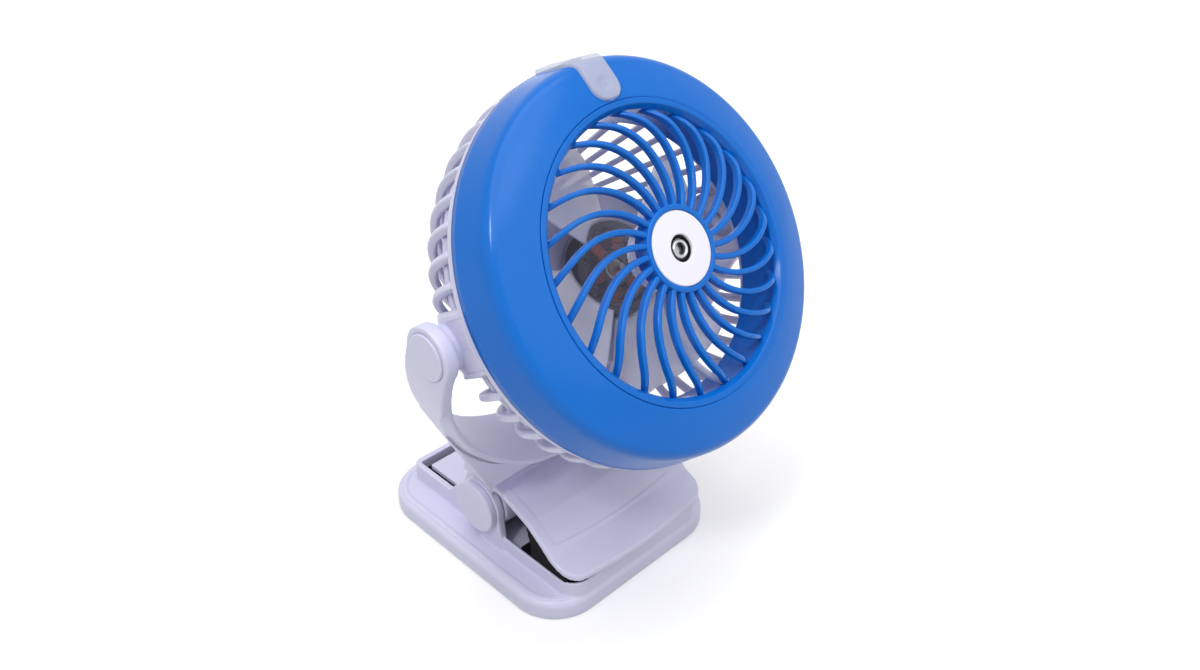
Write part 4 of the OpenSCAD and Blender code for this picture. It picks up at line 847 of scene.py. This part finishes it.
def jaw_direction(i):
    """The jaw sheet's direction, as (y, z), at a point of its curve."""
    return (JAW_UNDER[min(i + 1, len(JAW_UNDER) - 1)] - JAW_UNDER[max(i - 1, 0)]).normalized()


def upright(along):
    """The direction at right angles to one in the (y, z) plane, on its upper side."""
    return Vector((-along.y, along.x))


JAW_TOP = [p + upright(jaw_direction(i)) * JAW_T for i, p in enumerate(JAW_UNDER)]


def jaw_top(y):
    """Height of the jaw's top face."""
    return along_line(JAW_TOP, y)


def panel_sink(x, y):
    """How far the panel on the jaw's top is sunk; its front edge is bowed forward."""
    side, front = PANEL_HALF - abs(x), y - PANEL_FRONT - PANEL_BOW * (x / PANEL_HALF) ** 2
    if min(side, front) <= 0:
        return 0.0
    return PANEL_DEPTH * ease(side + front - math.hypot(side, front))


def yoke_depth(reach, depth, height):
    """Depth of a point near the yoke's front edge, which is bevelled and runs out into the neck."""
    if not BEVEL_LOW <= height <= BEVEL_TOP or reach < YOKE_EDGE:
        return depth
    if reach < YOKE_OUT + 0.4:
        bevel = BEVEL_SLOPE * (reach - YOKE_EDGE) * ease((BEVEL_TOP - height) / 22)
        return max(depth, along_line(YOKE_FRONT, -height) + bevel)
    if abs(depth - NECK_FRONT) < 0.8:
        return depth - NECK_RISE * ease((NECK_TOP - height) / 40) * ease((height - BEVEL_LOW) / 11)
    return depth


def jaw_shape(x, y, z):
    """Moves a point of the jaw and yoke: the sunk panel, a wider tail plate and the yoke's bevelled edge."""
    if PANEL_Y[0] < y < PANEL_Y[1] and abs(z - jaw_top(y)) < 1.0:
        z -= panel_sink(x, y)
    if y > TAIL_Y and z < TAIL_TOP:
        x += math.copysign(TAIL_GROW * ease((abs(x) - TAIL_HALF + 4) / 3), x)
    c, s = math.cos(math.radians(YOKE_LEAN)), math.sin(math.radians(YOKE_LEAN))
    dy, dz = y - PIVOT.y / MM, z - PIVOT.z / MM
    depth, height = dy * c + dz * s, dz * c - dy * s
    reach = math.hypot(x, height + YOKE_DROP) if height < -YOKE_DROP else abs(x)
    new = yoke_depth(reach, depth, height)
    if new == depth:
        return x, y, z
    return x, PIVOT.y / MM + new * c - height * s, PIVOT.z / MM + new * s + height * c


def deck_pad_shape(x, y, z):
    """The deck's pad, a little smaller than its seat."""
    front, seat_front = -62.6, -64.3
    return x * 0.95, front + (y - seat_front) * 0.84, z


def jaw_pad_shape(x, y, z):
    """The jaw's pad, run further back and out to the jaw's sides, its top kept under the sheet."""
    front, solid_front, bottom = -60, -61.8, 15.7
    new = front + (y - solid_front) * 1.12
    share = (z - bottom) / (jaw_top(y) - JAW_T - bottom)
    return x * 1.09, new, z + (jaw_top(new) - jaw_top(y)) * min(1.0, max(0.0, share))


def foot_cuts():
    """What is cut from the foot: the blocks behind its ears, and the well's sharp rear corners."""
    hinge_y, hinge_z = HINGE.y / MM, HINGE.z / MM
    ear = [(hinge_y + EAR_R * math.cos(math.radians(a)), hinge_z + EAR_R * math.sin(math.radians(a)))
           for a in range(-85, 76, 5)]
    floor = DECK_Z + 0.05
    behind_ear = ear + [(EAR_BACK, ear[-1][1]), (EAR_BACK, floor), (ear[0][0], floor)]
    above_wall = [(y, max(z, WELL_TOP)) for y, z in behind_ear]
    x0, y0 = WELL_SIDE - WELL_R, WELL_REAR - WELL_R
    corner = [(WELL_SIDE + 1, WELL_REAR + 1), (x0, WELL_REAR + 1)]
    corner += [(x0 + WELL_R * math.sin(math.radians(a)), y0 + WELL_R * math.cos(math.radians(a)))
               for a in range(0, 91, 10)]
    corner.append((WELL_SIDE + 1, y0))
    cuts = []
    for side, _ in SIDES:
        cuts += [prism(behind_ear, *sorted((side * (WELL_SIDE + 0.25), side * (WELL_SIDE + 6)))),
                 prism(above_wall, *sorted((side * (WELL_SIDE - 1), side * (WELL_SIDE + 6)))),
                 prism([(x * side, y) for x, y in corner], DECK_Z, WELL_TOP + 1, "Z")]
    return cuts


def jaw_fills():
    """What is filled in on the jaw: the solid's straight panel recess, and its liner's screw holes."""
    roof = JAW_TOP[3:]
    fills = [prism([(y, z - 0.01) for y, z in roof] + [(y, z - JAW_T / 2) for y, z in roof[::-1]],
                   -ROOF_HALF_W, ROOF_HALF_W)]
    along = jaw_direction(len(JAW_UNDER) - 1)
    half, low, high = 2, 0.3, 2.9
    for a, b in zip(JAW_UNDER[4:], JAW_UNDER[5:]):
        box = [tuple((a + b) / 2 + along * u + upright(along) * v)
               for u, v in ((-half, low), (half, low), (half, high), (-half, high))]
        fills += [prism(box, x - half, x + half) for x in (-JAW_SCREW_X, JAW_SCREW_X)]
    return fills


def mouldings():
    """The CAD's plain mouldings and pads, with soft edges."""
    dress(softened("base_shell", "foot", 0.5, 12, cut=foot_cuts()), "white_shell", "base", "base_shell")
    dress(softened("upper_jaw", "yoke_and_jaw", 0.5, 14, add=jaw_fills(), shape=jaw_shape),
          "white_shell", "jaw", "upper_jaw")
    dress(softened("jaw_pad", "jaw_cushion", 0.8, 4, shape=jaw_pad_shape), "black_rubber", "jaw", "jaw_pad")
    dress(softened("base_pad", "deck_cushion", 0.7, 3, shape=deck_pad_shape),
          "black_rubber", "base", "base_pad")
    dress(softened("pod_cover", "pod_lid", 0.6, 4), "white_shell", "head", "pod_cover")


def deck_bead():
    """A low bead round the deck's edge."""
    half_w, half_l, corner = BASE_HALF_W - BEAD_IN, BASE_HALF_L - BEAD_IN, BASE_CORNER - BEAD_IN
    path = []
    for i, (sx, sy) in enumerate(((1, 1), (-1, 1), (-1, -1), (1, -1))):
        for k in range(17):
            a = math.radians(90 * i + 90 * k / 16)
            nx, ny = math.cos(a), math.sin(a)
            path.append((sx * (half_w - corner) + corner * nx, sy * (half_l - corner) + corner * ny, nx, ny))
    section = [(BEAD_W / 2 * math.cos(math.radians(t)), BEAD_H * math.sin(math.radians(t)))
               for t in range(0, 181, 15)]
    section = [(BEAD_W / 2, -BEAD_ROOT)] + section + [(-BEAD_W / 2, -BEAD_ROOT)]
    verts = [(x + nx * u, y + ny * u, DECK_Z + v) for x, y, nx, ny in path for u, v in section]
    faces = loop_faces(len(path), len(section))
    dress(mesh_object("deck_bead", verts, faces, weighted=False), "white_shell", "base")


def well_shade_sheet():
    """A black sheet that paints the shade in the rear well: its floor, and walls that leave the jaw room in front.
    """
    side, front, rear, start = SHADE_SHEET_SIDE, SHADE_SHEET_FRONT, SHADE_SHEET_REAR, SHADE_SHEET_FRONT + 3
    inner = side - SHADE_SHEET_T
    floor = [(-side, front), (side, front), (side, rear), (-side, rear)]
    wall = [(-side, start), (-inner, start), (-inner, rear - SHADE_SHEET_T), (inner, rear - SHADE_SHEET_T),
            (inner, start), (side, start), (side, rear), (-side, rear)]
    tray = together([prism(floor, *SHADE_SHEET_FLOOR, "Z"), prism(wall, SHADE_SHEET_FLOOR[1] - 0.1, SHADE_SHEET_TOP, "Z")])
    # the black rubber here is painted shade in the well, not a part
    dress(mesh_object("well_shade_sheet", *tray, weighted=False), "black_rubber", "base")


def caps():
    """The round caps over the foot's hinge pin and over the yoke's pivot screws."""
    r, inner, face = HINGE_CAP_R, HINGE_CAP_X, HINGE_CAP_X + HINGE_CAP_T
    profile = fillet([(0, inner), (r - 0.4, inner), (r, inner + 0.6), (r, face), (r - 2.4, face),
                      (r - 5.0, face), (4.0, face), (0, face)], [0, 0.2, 0.4, 1.3, 0, 0, 0, 0], 6)
    for side, word in SIDES:
        cap = revolved("foot_cap_" + word, profile, axle(side, HINGE), 128)
        dress(cap, "white_shell", "base", "hinge_cap_" + word)
    r, inner, face = PIVOT_CAP_R, PIVOT_CAP_X, PIVOT_CAP_X + PIVOT_CAP_T
    profile = fillet([(0, inner), (r, inner), (r, face), (0, face)], [0, 0.2, 0.7, 0], 5)
    for side, word in SIDES:
        cap = revolved("yoke_cap_" + word, profile, axle(side, PIVOT), 96)
        dress(cap, "white_shell", "jaw", "pivot_cap_" + word)


def spring():
    """The clamp's torsion spring as one wire: a leg, the coil, and the other leg."""
    per_turn, upper_end, lower_end = 24, (12.2, SPRING_R), (11.0, -19.6)
    half = SPRING_PITCH * (SPRING_TURNS - 0.75) / 2
    points = [Vector((half, *upper_end))]
    for k in range(int((SPRING_TURNS - 0.625) * per_turn) + 1):
        a = WHOLE_TURN * (0.25 + k / per_turn)
        x = half - SPRING_PITCH * k / per_turn
        points.append(Vector((x, math.cos(a) * SPRING_R, math.sin(a) * SPRING_R)))
    points.append(Vector((points[-1].x, *lower_end)))
    curve = bpy.data.curves.new("clamp_spring", "CURVE")
    curve.dimensions, curve.bevel_depth, curve.bevel_resolution = "3D", SPRING_WIRE_R * MM, 4
    spline = curve.splines.new("POLY")
    spline.points.add(len(points) - 1)
    for target, p in zip(spline.points, points):
        target.co = (*(HINGE + p * MM), 1)
    wire = baked(placed("wire", curve), "wire")
    obj = finish_mesh("clamp_spring", wire.data, False)
    bpy.data.objects.remove(wire)
    obj.data.materials.append(materials["steel"])
    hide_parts("torsion_spring")
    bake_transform(obj)


def buttons():
    """The two push buttons in the pod's cover."""
    face, flange = POD_BACK - BUTTON_OUT, POD_BACK + 0.3
    profile = fillet([(0, face + 0.25), (BUTTON_R - 1.3, face + 0.1), (BUTTON_R, face), (BUTTON_R, flange),
                      (BUTTON_R + 1.4, flange), (BUTTON_R + 1.4, flange + 1), (0, flange + 1)],
                     [0, 1.5, 0.8, 0.1, 0.2, 0.2, 0], 5)
    for x, name in ((-BUTTON_X, "speed_button"), (BUTTON_X, "mist_button")):
        place = HEAD @ Matrix.Translation((x * MM, BUTTON_Y * MM, 0))
        dress(revolved(name + "_cap", profile, place, 72), "nozzle_white", name, name)


# -------------------- CAD nodes that stay
def dress_cad_nodes():
    """Gives each CAD node the material of its slot, and the stator a darker steel."""
    slots = {s["node"]: s["material_slot"] for s in frame["record"]["subparts"]}
    for name, obj in frame["nodes"].items():
        obj.data.materials.clear()
        obj.data.materials.append(materials["dark_steel" if name == "stator_core" else slots[name]])


# -------------------- stage, lights, camera
def seen(tree, hidden, shown):
    """A value that is shown for camera, glossy and transmission rays and hidden for the rest."""
    path = tree.nodes.new("ShaderNodeLightPath")
    total = path.outputs["Is Camera Ray"]
    for name in ("Is Glossy Ray", "Is Transmission Ray"):
        either = tree.nodes.new("ShaderNodeMath")
        either.operation = "MAXIMUM"
        tree.links.new(total, either.inputs[0])
        tree.links.new(path.outputs[name], either.inputs[1])
        total = either.outputs[0]
    return mapped(tree, total, hidden, shown)


def stage():
    """A pale floor and a white world, both dimmer for the light that they throw than for the camera."""
    bpy.ops.mesh.primitive_plane_add(size=30)
    floor = bpy.context.object
    floor.name = "floor"
    mat, tree, bsdf = nodes_of("floor")
    tree.links.new(seen(tree, 0.55, 0.95), bsdf.inputs["Base Color"])
    settle(bsdf, {"Roughness": 0.8, "Specular IOR Level": 0.0, "Emission Color": (1, 1, 1, 1)})
    tree.links.new(seen(tree, 0.0, 0.12), bsdf.inputs["Emission Strength"])
    floor.data.materials.append(mat)
    world = bpy.data.worlds.new("studio")
    bpy.context.scene.world = world
    world.use_nodes = True
    tree = world.node_tree
    background = tree.nodes["Background"]
    background.inputs["Color"].default_value = (1, 1, 1, 1)
    tree.links.new(seen(tree, 0.31, 1.0), background.inputs["Strength"])


def soft_sun(name, towards, angle, strength, tint=(1, 1, 1)):
    """A wide, even light from the direction given."""
    data = bpy.data.lights.new(name, "SUN")
    data.angle, data.energy, data.color = math.radians(angle), strength, tint
    lamp = placed(name, data)
    lamp.rotation_euler = (-Vector(towards)).to_track_quat("-Z", "Y").to_euler()


def lights():
    """A wide light from above, a small key for the highlights, and two weak fills."""
    soft_sun("top", (-0.05, -0.10, 1.0), 70, 2.0)
    soft_sun("key", (-0.60, -0.19, 0.78), 9, 0.62)
    soft_sun("side", (-1.0, 0.1, 0.35), 50, 0.15)
    soft_sun("front", (0.25, -1.0, 0.75), 50, 0.45)


def camera():
    """The photograph's viewpoint: from the front left, 33 degrees above."""
    turn, rise = math.radians(CAMERA_TURN), math.radians(CAMERA_RISE)
    right = Vector((math.cos(turn), -math.sin(turn), 0))
    back = Vector((-math.sin(turn) * math.cos(rise), -math.cos(turn) * math.cos(rise), math.sin(rise)))
    data = bpy.data.cameras.new("camera")
    data.lens, data.sensor_width = CAMERA_LENS, 36
    data.clip_start, data.clip_end = 0.01, 50
    cam = placed("camera", data)
    cam.matrix_world = frame_matrix(Vector(CAMERA_AT) * MM, right, back.cross(right), back)
    bpy.context.scene.camera = cam
    bpy.context.scene.view_settings.view_transform = "Standard"


dress_cad_nodes()
tank_ring()
front_grille()
nozzle()
rear_cage()
impeller()
coils()
filler_plug()
mouldings()
deck_bead()
well_shade_sheet()
caps()
spring()
buttons()
stage()
lights()
camera()
